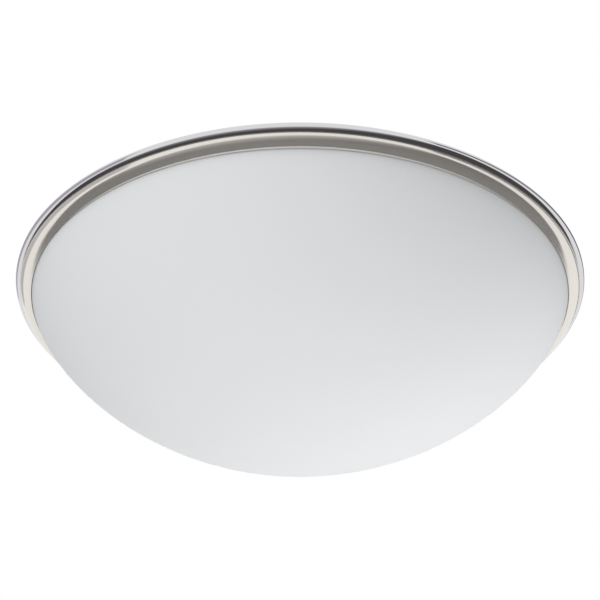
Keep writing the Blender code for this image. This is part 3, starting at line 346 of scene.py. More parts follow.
def spun_section_tree():
    """Turn a section, drawn as points in the XZ plane, about Z; a point's thread weight carries a helix."""
    tree, given, result = start_tree("spun_section", (("Section", "Geometry"), *SPIN_INPUTS),
                                     (("Surface", "Geometry"),))
    rows = put(tree, "GeometryNodeAttributeDomainSize", {0: given["Section"]}, component="MESH")
    columns = whole(tree, "ADD", given["Segments"], 1)
    grid = put(tree, "GeometryNodeMeshGrid", {"Vertices X": columns, "Vertices Y": rows})
    index = put(tree, "GeometryNodeInputIndex")
    row = whole(tree, "MODULO", index, rows)
    column = whole(tree, "MODULO", whole(tree, "DIVIDE_FLOOR", index, rows), given["Segments"])
    angle = product(tree, calculate(tree, "DIVIDE", column, given["Segments"]), math.tau)

    def sampled(value, kind):
        """What the section's point of this row carries."""
        return put(tree, "GeometryNodeSampleIndex",
                   {"Geometry": given["Section"], "Value": value, "Index": row}, data_type=kind)

    point = sampled(put(tree, "GeometryNodeInputPosition"), "FLOAT_VECTOR")
    weight = sampled(read(tree, "thread"), "FLOAT")
    parts = add(tree, "ShaderNodeSeparateXYZ", {0: point}).outputs
    rise = product(tree, calculate(tree, "DIVIDE", parts["Z"], given["Thread Pitch"]), math.tau)
    wave = calculate(tree, "COSINE", calculate(tree, "SUBTRACT", rise, angle))
    share = product(tree, calculate(tree, "SUBTRACT", wave, 1.0), 0.5)
    radius = calculate(tree, "ADD", parts["X"], product(tree, share, given["Thread Depth"], weight))
    turned = put(tree, "ShaderNodeVectorRotate", {"Vector": combine(tree, X=radius, Z=parts["Z"]),
                                                  "Angle": angle}, rotation_type="Z_AXIS")
    moved = put(tree, "GeometryNodeSetPosition", {"Geometry": grid, "Position": turned})
    joined = put(tree, "GeometryNodeMergeByDistance", {"Geometry": moved, "Distance": 0.000002})
    tree.links.new(put(tree, "GeometryNodeSetShadeSmooth", {"Geometry": joined}), result[0])
    return tree


SPUN_SECTION = spun_section_tree()


def spin(tree, given, section):
    """Spin a section inside another tree, with what that tree is given for it."""
    inputs = {name: given[name] for name, *_ in SPIN_INPUTS if name in given}
    return put(tree, "GeometryNodeGroup", {"Section": section, **inputs}, node_tree=SPUN_SECTION)


def round_the_axis(tree, shape, count):
    """Copies of a shape at even steps round the Z axis."""
    points = put(tree, "GeometryNodeMeshLine", {"Count": count, "Offset": (0.0, 0.0, 0.0)})
    angle = product(tree, put(tree, "GeometryNodeInputIndex"), calculate(tree, "DIVIDE", math.tau, count))
    turn = put(tree, "FunctionNodeAxisAngleToRotation", {0: (0.0, 0.0, 1.0), 1: angle})
    return put(tree, "GeometryNodeInstanceOnPoints", {"Points": points, "Instance": shape, "Rotation": turn})


def spun_piece_tree():
    """A piece that is wholly a spun section."""
    tree, given, result = start_piece_tree("spun_piece", ("Section", "Geometry"), *SPIN_INPUTS)
    return end_piece_tree(tree, given, result, spin(tree, given, given["Section"]))


def glass_bowl_tree():
    """Bowl that follows one rule from crown to neck; the other points of its section stay as drawn."""
    tree, given, result = start_piece_tree(
        "glass_bowl", ("Section", "Geometry"), ("Segments", "Int", ROUND_STEPS),
        ("Neck Radius", "Float", GLASS_NECK_RADIUS), ("Neck Height", "Float", LIP_EDGE.y),
        ("Bowl Depth", "Float", BOWL_DEPTH), ("Bowl Power", "Float", BOWL_POWER))
    neck, depth, power = given["Neck Radius"], given["Bowl Depth"], given["Bowl Power"]
    angle = product(tree, read(tree, "turn"), QUARTER)
    sine = calculate(tree, "SINE", angle)
    cosine = calculate(tree, "COSINE", angle)
    hang = product(tree, depth, calculate(tree, "POWER", cosine, power))
    flatter = calculate(tree, "POWER", cosine, calculate(tree, "SUBTRACT", power, 1.0))
    climb = product(tree, product(tree, flatter, sine), product(tree, depth, power))
    run = product(tree, neck, cosine)
    square = calculate(tree, "ADD", product(tree, climb, climb), product(tree, run, run))
    share = calculate(tree, "DIVIDE", read(tree, "inset"), calculate(tree, "SQRT", square))
    radius = calculate(tree, "SUBTRACT", product(tree, neck, sine), product(tree, climb, share))
    height = calculate(tree, "SUBTRACT", given["Neck Height"], hang)
    height = calculate(tree, "ADD", height, product(tree, run, share))
    ruled = put(tree, "FunctionNodeCompare", {0: read(tree, "ruled"), 1: 0.5}, operation="GREATER_THAN")
    section = put(tree, "GeometryNodeSetPosition", {"Geometry": given["Section"], "Selection": ruled,
                                                    "Position": combine(tree, X=radius, Z=height)})
    return end_piece_tree(tree, given, result, spin(tree, given, section))


def fasteners_tree():
    """Turned fasteners at points. Each point faces from head to tip, and its slot runs sideways."""
    tree, given, result = start_piece_tree(
        "fasteners", ("Places", "Geometry"), ("Section", "Object"), ("Segments", "Int", 40),
        ("Thread Pitch", "Float", 0.0007), ("Thread Depth", "Float", 0.0), ("Slot Length", "Float", 0.004),
        ("Slot Width", "Float", 0.0007), ("Slot Depth", "Float", 0.0), ("Crossed", "Bool", False))
    section = add(tree, "GeometryNodeObjectInfo", {"Object": given["Section"]}).outputs["Geometry"]
    body = spin(tree, given, section)
    depth = product(tree, given["Slot Depth"], 2.0)
    size = combine(tree, X=given["Slot Length"], Y=given["Slot Width"], Z=depth)
    slot = put(tree, "GeometryNodeMeshCube", {"Size": size})
    quarter = put(tree, "FunctionNodeEulerToRotation", {0: (0.0, 0.0, QUARTER)})
    cross = join(tree, slot, put(tree, "GeometryNodeTransform", {"Geometry": slot, "Rotation": quarter}))
    cutter = put(tree, "GeometryNodeSwitch", {"Switch": given["Crossed"], "False": slot, "True": cross},
                 input_type="GEOMETRY")
    cut = put(tree, "GeometryNodeMeshBoolean", {"Mesh 1": body, "Mesh 2": cutter, "Self Intersection": True},
              operation="DIFFERENCE", solver="EXACT")
    slotted = calculate(tree, "GREATER_THAN", given["Slot Depth"], 0.00001)
    shape = put(tree, "GeometryNodeSwitch", {"Switch": slotted, "False": body, "True": cut},
                input_type="GEOMETRY")
    turn = put(tree, "FunctionNodeAxesToRotation", {0: read(tree, "facing", "FLOAT_VECTOR"),
                                                    1: read(tree, "across", "FLOAT_VECTOR")},
               primary_axis="Z", secondary_axis="X")
    placed = put(tree, "GeometryNodeInstanceOnPoints", {"Points": given["Places"], "Instance": shape,
                                                        "Rotation": turn})
    return end_piece_tree(tree, given, result, placed)


def catches_tree():
    """The same spring catch several times round the Z axis."""
    tree, given, result = start_piece_tree("spring_catches", ("Catch", "Geometry"), ("Count", "Int", 3))
    return end_piece_tree(tree, given, result, round_the_axis(tree, given["Catch"], given["Count"]))


def toothed_washer_tree():
    """Flat ring with twisted teeth round its rim."""
    tree, given, result = start_piece_tree(
        "toothed_washer", ("Section", "Geometry"), ("Segments", "Int", 48), ("Teeth", "Int", 12),
        ("Tooth Radius", "Float", 0.0037), ("Tooth Length", "Float", 0.001),
        ("Tooth Width", "Float", 0.0012), ("Tooth Thickness", "Float", 0.0004), ("Twist", "Float", 0.22))
    size = combine(tree, X=given["Tooth Length"], Y=given["Tooth Width"], Z=given["Tooth Thickness"])
    lean = put(tree, "FunctionNodeAxisAngleToRotation", {0: (1.0, 0.0, 0.0), 1: given["Twist"]})
    block = put(tree, "GeometryNodeMeshCube", {"Size": size})
    place = combine(tree, X=given["Tooth Radius"])
    tooth = put(tree, "GeometryNodeTransform", {"Geometry": block, "Translation": place, "Rotation": lean})
    ring = spin(tree, given, given["Section"])
    whole_washer = join(tree, ring, round_the_axis(tree, tooth, given["Teeth"]))
    return end_piece_tree(tree, given, result, whole_washer)


def leads_tree():
    """Round leads along the routes of a wire mesh."""
    tree, given, result = start_piece_tree(
        "insulated_leads", ("Routes", "Geometry"), ("Radius", "Float", LEAD_RADIUS), ("Sides", "Int", 16),
        ("Step", "Float", 0.0012))
    curve = put(tree, "GeometryNodeMeshToCurve", {0: given["Routes"]})
    curve = put(tree, "GeometryNodeCurveSplineType", {0: curve}, spline_type="CATMULL_ROM")
    curve = put(tree, "GeometryNodeResampleCurve", {"Curve": curve, "Length": given["Step"]}, mode="LENGTH")
    ring = put(tree, "GeometryNodeCurvePrimitiveCircle",
               {"Resolution": given["Sides"], "Radius": given["Radius"]})
    tube = put(tree, "GeometryNodeCurveToMesh", {"Curve": curve, "Profile Curve": ring, "Fill Caps": True})
    smooth = put(tree, "GeometryNodeSetShadeSmooth", {"Geometry": tube})
    return end_piece_tree(tree, given, result, smooth)


SPUN_PIECE = spun_piece_tree()
FASTENERS = fasteners_tree()


# Mesh work

def link(name, mesh):
    """Put mesh data into the scene under a name."""
    thing = bpy.data.objects.new(name, mesh)
    bpy.context.scene.collection.objects.link(thing)
    return thing


def discard(thing):
    """Take a working shape out of the file."""
    mesh = thing.data
    bpy.data.objects.remove(thing)
    bpy.data.meshes.remove(mesh)


def evaluated_mesh(thing):
    """Plain mesh of an object with its modifiers."""
    bpy.context.view_layer.update()
    graph = bpy.context.evaluated_depsgraph_get()
    return bpy.data.meshes.new_from_object(thing.evaluated_get(graph), depsgraph=graph)


def shade(mesh, sharp):
    """Smooth shading with creases past an angle in degrees."""
    mesh.shade_smooth()
    mesh.set_sharp_from_angle(angle=math.radians(sharp))


def settle(name, worker, place=None, sharp=32):
    """Turn a working object with its modifiers into a plain mesh piece, in its place and facing outwards."""
    mesh = evaluated_mesh(worker)
    discard(worker)
    if place is not None:
        mesh.transform(place)
    shape = bmesh.new()
    shape.from_mesh(mesh)
    if shape.calc_volume(signed=True) < 0:
        bmesh.ops.reverse_faces(shape, faces=shape.faces)
    bmesh.ops.delete(shape, geom=[edge for edge in shape.edges if not edge.link_faces], context="EDGES")
    for face in shape.faces:
        face.material_index = 0
    shape.to_mesh(mesh)
    shape.free()
    finish = mesh.materials[-1]
    mesh.materials.clear()
    mesh.materials.append(finish)
    shade(mesh, sharp)
    mesh.name = name
    return link(name, mesh)


def joined(name, pieces, finish, sharp=32):
    """One piece from settled ones."""
    shape = bmesh.new()
    for piece in pieces:
        shape.from_mesh(piece.data)
        discard(piece)
    mesh = bpy.data.meshes.new(name)
    mesh.materials.append(finish)
    shape.to_mesh(mesh)
    shape.free()
    shade(mesh, sharp)
    return link(name, mesh)


def hold(piece, body, slot, *nodes):
    """Fix a finished piece to its body and hide the plain pieces that it stands for; slot is not used."""
    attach(piece, body)
    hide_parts(*nodes)


def give_tree(thing, tree, values):
    """Add a node tree to an object and set its named inputs."""
    change = thing.modifiers.new(tree.name, "NODES")
    change.node_group = tree
    for item in tree.interface.items_tree:
        if item.item_type == "SOCKET" and item.in_out == "INPUT" and item.name in values:
            change[item.identifier] = values[item.name]


def point_mesh(name, points, values=None, edges=()):
    """Mesh of loose points, or of routes, with named numbers or directions on the points."""
    mesh = bpy.data.meshes.new(name)
    mesh.from_pydata([tuple(point) for point in points], list(edges), [])
    for label, numbers in (values or {}).items():
        if isinstance(numbers[0], Vector):
            attribute = mesh.attributes.new(label, "FLOAT_VECTOR", "POINT")
            attribute.data.foreach_set("vector", [part for direction in numbers for part in direction])
        else:
            attribute = mesh.attributes.new(label, "FLOAT", "POINT")
            attribute.data.foreach_set("value", numbers)
    return link(name, mesh)


def anticlockwise(outline):
    """Outline whose solid side is on the left of its travel."""
    area = sum(a[0] * b[1] - b[0] * a[1] for a, b in zip(outline, outline[1:] + outline[:1]))
    return outline if area > 0 else outline[::-1]


def rounded(corners, closed=True, steps=5):
    """Outline with rounded corners; a corner is (radius out, height) and its rounding, if it has one."""
    outline = []
    count = len(corners)
    for index, corner in enumerate(corners):
        here = Vector(corner[:2])
        size = corner[2] if len(corner) > 2 else 0.0
        if size == 0 or (not closed and index in (0, count - 1)):
            outline.append(here)
            continue
        back = Vector(corners[index - 1][:2]) - here
        on = Vector(corners[(index + 1) % count][:2]) - here
        half = back.angle(on) / 2
        reach = min(size / math.tan(half), back.length * 0.49, on.length * 0.49)
        centre = here + (back.normalized() + on.normalized()).normalized() * (reach / math.cos(half))
        from_centre = here + back.normalized() * reach - centre
        to_centre = here + on.normalized() * reach - centre
        sweep = from_centre.angle_signed(to_centre)
        outline += [centre + Matrix.Rotation(-sweep * step / steps, 2) @ from_centre
                    for step in range(steps + 1)]
    return outline


def arc(centre, radius, start, end, steps):
    """Points on an arc, both ends included, with angles in degrees from the outward direction."""
    angles = [math.radians(start + (end - start) * step / steps) for step in range(steps + 1)]
    return [Vector((centre[0] + radius * math.cos(angle), centre[1] + radius * math.sin(angle)))
            for angle in angles]


def disc(x, y, radius, steps=48):
    """Round outline."""
    return arc((x, y), radius, 0, 360, steps)[:-1]


def dome(radius, height, steps):
    """Section of a dome from its crown at zero out to its rim."""
    turns = [QUARTER * step / steps for step in range(steps + 1)]
    return [Vector((radius * math.sin(turn), height * (1 - math.cos(turn)))) for turn in turns]


def stepped(start, end, step):
    """Evenly spaced points between two points, the second left out."""
    count = max(1, round((end - start).length / step))
    return [start.lerp(end, index / count) for index in range(count)]


def stepped_ends(path, first_step, last_step):
    """Path with its first and last stretch in even steps."""
    return (stepped(path[0], path[1], first_step) + path[1:-1]
            + stepped(path[-2], path[-1], last_step)[1:] + [path[-1]])


def ramp(value, start, end):
    """Smooth rise from 0 at start to 1 at end."""
    share = min(1.0, max(0.0, (value - start) / (end - start)))
    return share * share * (3 - 2 * share)


def thread_share(height, low, top, run):
    """Share of a thread at a height between two ends; run gives its start, full depth, fade and end."""
    start, full, fade, stop = run
    return ramp(height, low + start, low + full) * (1 - ramp(height, top - fade, top - stop))


def section_of(name, outline, thread=None, closed=False):
    """Section ready to be spun, on its own object; thread gives the weight of the helix at a point."""
    outline = anticlockwise([Vector(point) for point in outline])
    if closed:
        outline = outline + outline[:1]
    weights = [thread(point) if thread else 0.0 for point in outline]
    return point_mesh(name + "_section", [(point.x, 0, point.y) for point in outline], {"thread": weights})


def spun(name, outline, finish, segments=96, closed=False, place=None, sharp=32, thread=None, depth=0.0):
    """Spin an outline about Z into a finished piece."""
    section = section_of(name, outline, thread, closed)
    give_tree(section, SPUN_PIECE, {"Segments": segments, "Thread Depth": depth, "Finish": finish})
    return settle(name, section, place, sharp)


def bodies(name, stacks, finish=None):
    """Closed bodies, each over a stack of equal loops with its first and last loop filled."""
    shape = bmesh.new()
    for loops in stacks:
        rings = [[shape.verts.new(point) for point in loop] for loop in loops]
        shape.faces.new(rings[0])
        shape.faces.new(rings[-1])
        for near, far in zip(rings, rings[1:]):
            for index in range(len(near)):
                following = (index + 1) % len(near)
                shape.faces.new((near[index], near[following], far[following], far[index]))
    bmesh.ops.recalc_face_normals(shape, faces=shape.faces)
    mesh = bpy.data.meshes.new(name)
    shape.to_mesh(mesh)
    shape.free()
    if finish:
        mesh.materials.append(finish)
    return link(name, mesh)


def prisms(name, outlines, low, high, finish=None):
    """Upright blocks over (x, y) outlines."""
    return bodies(name, [[[(x, y, height) for x, y in outline] for height in (low, high)]
                         for outline in outlines], finish)


def bars(name, outlines, low, high, finish=None):
    """Bars along X over (y, z) outlines."""
    return bodies(name, [[[(x, y, z) for y, z in outline] for x in (low, high)]
                         for outline in outlines], finish)


def cut_from(body, cutter):
    """Cut one working shape out of another."""
    change = body.modifiers.new(cutter.name, "BOOLEAN")
    change.operation = "DIFFERENCE"
    change.solver = "EXACT"
    change.object = cutter
    mesh = evaluated_mesh(body)
    body.modifiers.clear()
    old = body.data
    body.data = mesh
    bpy.data.meshes.remove(old)
    discard(cutter)


def soften(thing, width, segments=1, angle=50):
    """Round the sharp edges of a working shape."""
    edge = thing.modifiers.new("softened_edges", "BEVEL")
    edge.width = width
    edge.segments = segments
    edge.limit_method = "ANGLE"
    edge.angle_limit = math.radians(angle)
    edge.use_clamp_overlap = True


def sheet_sides(path, thickness):
    """Both faces of a thin sheet that follows a path: the path itself and its offset to the left."""
    other = []
    for index, point in enumerate(path):
        run = path[min(index + 1, len(path) - 1)] - path[max(index - 1, 0)]
        run.normalize()
        other.append(point + Vector((-run.y, run.x)) * thickness)
    return path, other


def strip(path, other, low, high, where, steps=1, narrow=None):
    """Loops of a bent strip: the section of a sheet, drawn from one edge to the other.

    where(point, along) gives the place of a section point; narrow(index) pulls both edges in.
    """
    section = list(path) + list(reversed(other))
    pulls = [narrow(index) if narrow else 0.0 for index in range(len(path))]
    pulls += reversed(pulls)
    return [[where(point, low + pull + (high - low - 2 * pull) * (step / steps))
             for point, pull in zip(section, pulls)] for step in range(steps + 1)]


# Finishes: each is a function with the name of its slot

TURNING_MARK_STRETCH = 0.004
BEAD_COLOUR = (0.68, 0.67, 0.69, 1.0)
BEAD_ROUGHNESS = 0.06
BAND_METALLIC = 0.76
# Painted shade: a dark colour on the lip's edge where the ring meets the glass, and the radii over which it
# fades in
LIP_PAINTED_SHADE = (0.36, 0.34, 0.32, 1.0)
LIP_PAINTED_SHADE_RUN = (0.0004, 0.0002)
CREASE_COLOUR_RUN = 0.0001


def mixed(tree, share, first, second):
    """Colour between two others."""
    return add(tree, "ShaderNodeMix", {"Factor": share, 6: first, 7: second}, data_type="RGBA").outputs[2]


def between(tree, value, start, end, low=0.0, high=1.0):
    """Number that goes from low to high while a value goes from start to end."""
    return put(tree, "ShaderNodeMapRange", {"Value": value, "From Min": start, "From Max": end,
                                            "To Min": low, "To Max": high})


def patchy_colour_group():
    """Colour that drifts between two shades in soft patches."""
    tree, given, result = start_tree("patchy_colour", (
        ("Vector", "Vector"), ("Patch Scale", "Float", 20.0), ("Light", "Color"), ("Dark", "Color"),
        ("Contrast", "Float", 1.6)), (("Colour", "Color"), ("Mask", "Float")), "ShaderNodeTree")
    noise = put(tree, "ShaderNodeTexNoise", {"Vector": given["Vector"], "Scale": given["Patch Scale"],
                                             "Detail": 4.0, "Roughness": 0.55})
    spread = calculate(tree, "MULTIPLY_ADD", calculate(tree, "SUBTRACT", noise, 0.5), given["Contrast"], 0.5)
    mask = put(tree, "ShaderNodeClamp", {"Value": spread})
    tree.links.new(mixed(tree, mask, given["Light"], given["Dark"]), result["Colour"])
    tree.links.new(mask, result["Mask"])
    return tree


def start_relief_group(name):
    """Shader group for a fine relief, as a height and as a value between two limits."""
    inputs = (("Vector", "Vector"), ("Grain Scale", "Float", 2000.0), ("Low", "Float", 0.2),
              ("High", "Float", 0.3))
    return start_tree(name, inputs, (("Value", "Float"), ("Height", "Float")), "ShaderNodeTree")


def end_relief_group(tree, given, result, spot, detail, roughness):
    """Fill a relief group's outputs from noise at a spot."""
    noise = put(tree, "ShaderNodeTexNoise", {"Vector": spot, "Scale": given["Grain Scale"], "Detail": detail,
                                             "Roughness": roughness})
    tree.links.new(between(tree, noise, 0.3, 0.7, given["Low"], given["High"]), result["Value"])
    tree.links.new(noise, result["Height"])
    return tree


def fine_grain_group():
    """Fine even grain."""
    tree, given, result = start_relief_group("fine_grain")
    return end_relief_group(tree, given, result, given["Vector"], 3.0, 0.6)


def turning_marks_group():
    """Fine marks that run round the Z axis, as a spinning tool leaves them."""
    tree, given, result = start_relief_group("turning_marks")
    parts = add(tree, "ShaderNodeSeparateXYZ", {0: given["Vector"]}).outputs
    squares = [product(tree, parts[axis], parts[axis]) for axis in ("X", "Y")]
    radius = calculate(tree, "SQRT", calculate(tree, "ADD", *squares))
    along = product(tree, calculate(tree, "ARCTAN2", parts["Y"], parts["X"]), TURNING_MARK_STRETCH)
    spot = combine(tree, X=radius, Y=along, Z=parts["Z"])
    return end_relief_group(tree, given, result, spot, 2.0, 0.5)


PATCHY_COLOUR = patchy_colour_group()
FINE_GRAIN = fine_grain_group()
TURNING_MARKS = turning_marks_group()


def make_finish(name, light, dark, patch, rough, grain, relief, surface=FINE_GRAIN, **plain):
    """Finish with drifting colour, varying roughness and a relief.

    patch and grain are sizes in metres, relief is a depth, and plain values go to the shader's own sockets.
    """
    material = bpy.data.materials.new(name)
    material.use_nodes = True
    tree = material.node_tree
    shader = tree.nodes["Principled BSDF"].inputs
    spot = add(tree, "ShaderNodeTexCoord").outputs["Object"]
    colour = put(tree, "ShaderNodeGroup", {"Vector": spot, "Patch Scale": 1 / patch, "Light": (*light, 1.0),
                                           "Dark": (*dark, 1.0)}, node_tree=PATCHY_COLOUR)
    value, height = add(tree, "ShaderNodeGroup", {"Vector": spot, "Grain Scale": 1 / grain, "Low": rough[0],
                                                  "High": rough[1]}, node_tree=surface).outputs
    bump = put(tree, "ShaderNodeBump", {"Height": height, "Strength": 0.6, "Distance": relief})
    tree.links.new(colour, shader["Base Color"])
    tree.links.new(value, shader["Roughness"])
    tree.links.new(bump, shader["Normal"])
    for label, number in plain.items():
        shader[label.replace("_", " ")].default_value = number
    return material


def satin_nickel():
    """Polished bead and a warmer, satin band, parted at the crease; the very edge of the lip carries painted
    shade where the ring meets the glass.
    """
    material = make_finish("satin_nickel_ring", (0.80, 0.765, 0.715), (0.775, 0.74, 0.69), 0.05,
                           (0.10, 0.13), 0.0005, 0.0000015, TURNING_MARKS)
    tree = material.node_tree
    shader = tree.nodes["Principled BSDF"].inputs
    spot = add(tree, "ShaderNodeTexCoord").outputs["Object"]
    height = add(tree, "ShaderNodeSeparateXYZ", {0: spot}).outputs["Z"]
    band = between(tree, height, CREASE_HEIGHT + CREASE_COLOUR_RUN, CREASE_HEIGHT - CREASE_COLOUR_RUN)
    flat = put(tree, "ShaderNodeVectorMath", {0: spot, 1: (1.0, 1.0, 0.0)}, operation="MULTIPLY")
    radius = add(tree, "ShaderNodeVectorMath", {0: flat}, operation="LENGTH").outputs["Value"]
    # Painted shade on the lip's edge, next to the glass
    edge = between(tree, radius, LIP_EDGE.x + LIP_PAINTED_SHADE_RUN[0], LIP_EDGE.x + LIP_PAINTED_SHADE_RUN[1])
    band_with_lip_shade = mixed(tree, edge, shader["Base Color"].links[0].from_socket, LIP_PAINTED_SHADE)
    satin = shader["Roughness"].links[0].from_socket
    rough = put(tree, "ShaderNodeMix", {"Factor": band, 2: BEAD_ROUGHNESS, 3: satin})
    tree.links.new(mixed(tree, band, BEAD_COLOUR, band_with_lip_shade), shader["Base Color"])
    tree.links.new(between(tree, band, 0.0, 1.0, 1.0, BAND_METALLIC), shader["Metallic"])
    tree.links.new(rough, shader["Roughness"])
    return material


def opal_glass():
    """Matt opal glass, nearly white and a little cool."""
    return make_finish("opal_glass_finish", (0.855, 0.875, 0.885), (0.845, 0.866, 0.878), 0.08, (0.50, 0.58),
                       0.0006, 0.000004, IOR=1.5, Specular_IOR_Level=0.1)


def white_enamel():
    """Baked white enamel with a slight orange peel."""
    return make_finish("white_enamel_finish", (0.80, 0.80, 0.78), (0.77, 0.77, 0.75), 0.03, (0.28, 0.40),
                       0.0012, 0.00002)


def gasket_silicone():
    """Soft, dull, off-white silicone."""
    return make_finish("gasket_silicone_finish", (0.74, 0.74, 0.71), (0.66, 0.66, 0.62), 0.01, (0.6, 0.75),
                       0.0005, 0.00001)


def spring_steel():
    """Cool, tempered steel strip."""
    return make_finish("spring_steel_finish", (0.55, 0.56, 0.58), (0.42, 0.43, 0.46), 0.006, (0.22, 0.36),
                       0.0004, 0.000004, Metallic=1.0)


def zinc_plate():
    """Zinc-plated steel with cloudy patches."""
    return make_finish("zinc_plate_finish", (0.66, 0.67, 0.69), (0.54, 0.56, 0.58), 0.008, (0.28, 0.44),
                       0.0006, 0.000008, Metallic=1.0)


def porcelain():
    """Glazed porcelain, slightly cream."""
    return make_finish("porcelain_finish", (0.84, 0.82, 0.76), (0.79, 0.765, 0.70), 0.012, (0.12, 0.20),
                       0.0015, 0.000015, Coat_Weight=0.5, Coat_Roughness=0.06)


def brass():
    """Drawn brass, a little tarnished."""
    return make_finish("brass_finish", (0.78, 0.60, 0.29), (0.62, 0.44, 0.19), 0.005, (0.24, 0.40),
                       0.0005, 0.000005, Metallic=1.0)


def frosted_bulb_glass():
    """White frosted glass."""
    return make_finish("frosted_bulb_glass_finish", (0.88, 0.88, 0.86), (0.84, 0.84, 0.82), 0.02,
                       (0.34, 0.42), 0.0005, 0.000004, Coat_Weight=0.3, Coat_Roughness=0.25)


def cap_aluminium():
    """Thin bright aluminium."""
    return make_finish("cap_aluminium_finish", (0.80, 0.80, 0.81), (0.70, 0.70, 0.72), 0.006, (0.26, 0.38),
                       0.0004, 0.000004, Metallic=1.0)


def black_vitrite():
    """Glossy black glass of the bulb's insulator."""
    return make_finish("black_vitrite_finish", (0.020, 0.020, 0.024), (0.012, 0.012, 0.014), 0.003,
                       (0.10, 0.22), 0.0006, 0.00001)


def contact_solder():
    """Grey solder with an uneven skin."""
    return make_finish("contact_solder_finish", (0.62, 0.61, 0.59), (0.45, 0.44, 0.43), 0.002, (0.30, 0.50),
                       0.0008, 0.00003, Metallic=1.0)


def grommet_rubber():
    """Matt black rubber."""
    return make_finish("grommet_rubber_finish", (0.030, 0.030, 0.031), (0.020, 0.020, 0.021), 0.004,
                       (0.60, 0.78), 0.0005, 0.00001)


def terminal_polyamide():
    """Moulded off-white polyamide."""
    return make_finish("terminal_polyamide_finish", (0.80, 0.80, 0.76), (0.75, 0.75, 0.70), 0.01,
                       (0.38, 0.52), 0.0006, 0.00001)


def insulation(name, light, dark):
    """Smooth plastic insulation of a lead."""
    return make_finish(name, light, dark, 0.006, (0.36, 0.46), 0.0008, 0.00001)


def brown_insulation():
    """Insulation of the live leads."""
    return insulation("brown_insulation_finish", (0.155, 0.060, 0.022), (0.120, 0.045, 0.016))


def blue_insulation():
    """Insulation of the neutral leads."""
    return insulation("blue_insulation_finish", (0.030, 0.120, 0.420), (0.022, 0.095, 0.350))


def green_insulation():
    """Insulation of the earth lead."""
    return insulation("green_insulation_finish", (0.110, 0.330, 0.055), (0.085, 0.270, 0.042))


FINISHES = (satin_nickel, opal_glass, white_enamel, gasket_silicone, spring_steel, zinc_plate, porcelain,
            brass, frosted_bulb_glass, cap_aluminium, black_vitrite, contact_solder, grommet_rubber,
            terminal_polyamide, brown_insulation, blue_insulation, green_insulation)


# Cover: ring, glass and gasket

def band_point(turn, inset=0.0):
    """Point on the curved band, from the crease (0) to the lip (a quarter turn), inset into the sheet."""
    width = RING_RADIUS - BEAD_RADIUS - LIP_EDGE.x
    point = Vector((LIP_EDGE.x + width * math.cos(turn), CREASE_HEIGHT - BAND_DROP * math.sin(turn)))
    outward = Vector((math.cos(turn) / width, -math.sin(turn) / BAND_DROP)).normalized()
    return point - outward * inset


def seat_height(radius, lift=0.0):
    """Height of the nearly flat seat inside the lip, plus a lift."""
    edge = band_point(QUARTER, RING_SHEET)
    seat = band_point(SEAT_TURN, RING_SHEET)
    return edge.y + (radius - edge.x) * (seat.y - edge.y) / (seat.x - edge.x) + lift


def make_trim_ring(finishes):
    """Spun ring: inward top flange, half-round bead, crease, and a band that curves in.

    The band ends in a straight run to the lip, which is rounded.
    """
    bead = (RING_RADIUS - BEAD_RADIUS, RING_TOP - BEAD_RADIUS)
    last = band_point(LIP_TURN)
    run = (last - band_point(LIP_TURN - 0.001)).normalized()
    lip = last + run * ((LIP_EDGE.x - LIP_ROUNDING[-1][0] - last.x) / run.x)
    outline = [(FLANGE_INNER_RADIUS, RING_TOP - RING_CORNER), (FLANGE_INNER_RADIUS + RING_CORNER, RING_TOP)]
    outline += arc(bead, BEAD_RADIUS, 90, -90, BEAD_STEPS)
    outline += [band_point(LIP_TURN * step / BAND_STEPS) for step in range(1, BAND_STEPS + 1)]
    outline += [lip + Vector(point) for point in LIP_ROUNDING]
    outline.append((LIP_EDGE.x, LIP_EDGE.y + RING_SHEET - RING_CORNER / 2))
    outline += [band_point(QUARTER * step / BAND_INSIDE_STEPS, RING_SHEET)
                for step in reversed(range(BAND_INSIDE_STEPS))]
    outline += arc(bead, BEAD_RADIUS - RING_SHEET, -90, 90, BEAD_INSIDE_STEPS)
    outline.append((FLANGE_INNER_RADIUS + RING_CORNER, RING_TOP - RING_SHEET))
    outline.append((FLANGE_INNER_RADIUS, RING_TOP - RING_SHEET + RING_CORNER))
    ring = spun("nickel_trim_ring", outline, finishes["satin_nickel"], ROUND_STEPS, closed=True)
    hold(ring, "cover", "satin_nickel", "trim_ring")


def make_bowl(finishes):
    """Opal bowl: crown and shoulder on one rule, upright neck, and the flange that rests in the ring."""
    lift = GASKET_THICKNESS + 2 * FIT_GAP
    mouth = GLASS_NECK_RADIUS - GLASS_WALL
    rim = rounded([
        (GLASS_NECK_RADIUS, LIP_EDGE.y),
        (GLASS_NECK_RADIUS, seat_height(GLASS_NECK_RADIUS, lift), 0.0004),
        (GLASS_FLANGE_RADIUS, seat_height(GLASS_FLANGE_RADIUS, lift), 0.0005),
        (GLASS_FLANGE_RADIUS, GLASS_TOP, 0.0007),
        (mouth, GLASS_TOP, 0.0006),
        (mouth, LIP_EDGE.y),
    ], closed=False)
    outside = [(index / BOWL_STEPS, 0.0, 1.0, (0, 0)) for index in range(BOWL_STEPS)]
    drawn = [(0.0, 0.0, 0.0, point) for point in rim]
    inside = [(index / BOWL_INSIDE_STEPS, GLASS_WALL, 1.0, (0, 0))
              for index in reversed(range(BOWL_INSIDE_STEPS))]
    turns, insets, ruled, points = zip(*outside, *drawn, *inside)
    section = point_mesh("bowl_section", [(x, 0, z) for x, z in points],
                         {"turn": turns, "inset": insets, "ruled": ruled})
    give_tree(section, glass_bowl_tree(), {"Finish": finishes["opal_glass"]})
    hold(settle("opal_glass_bowl", section), "cover", "opal_glass", "glass_dome")


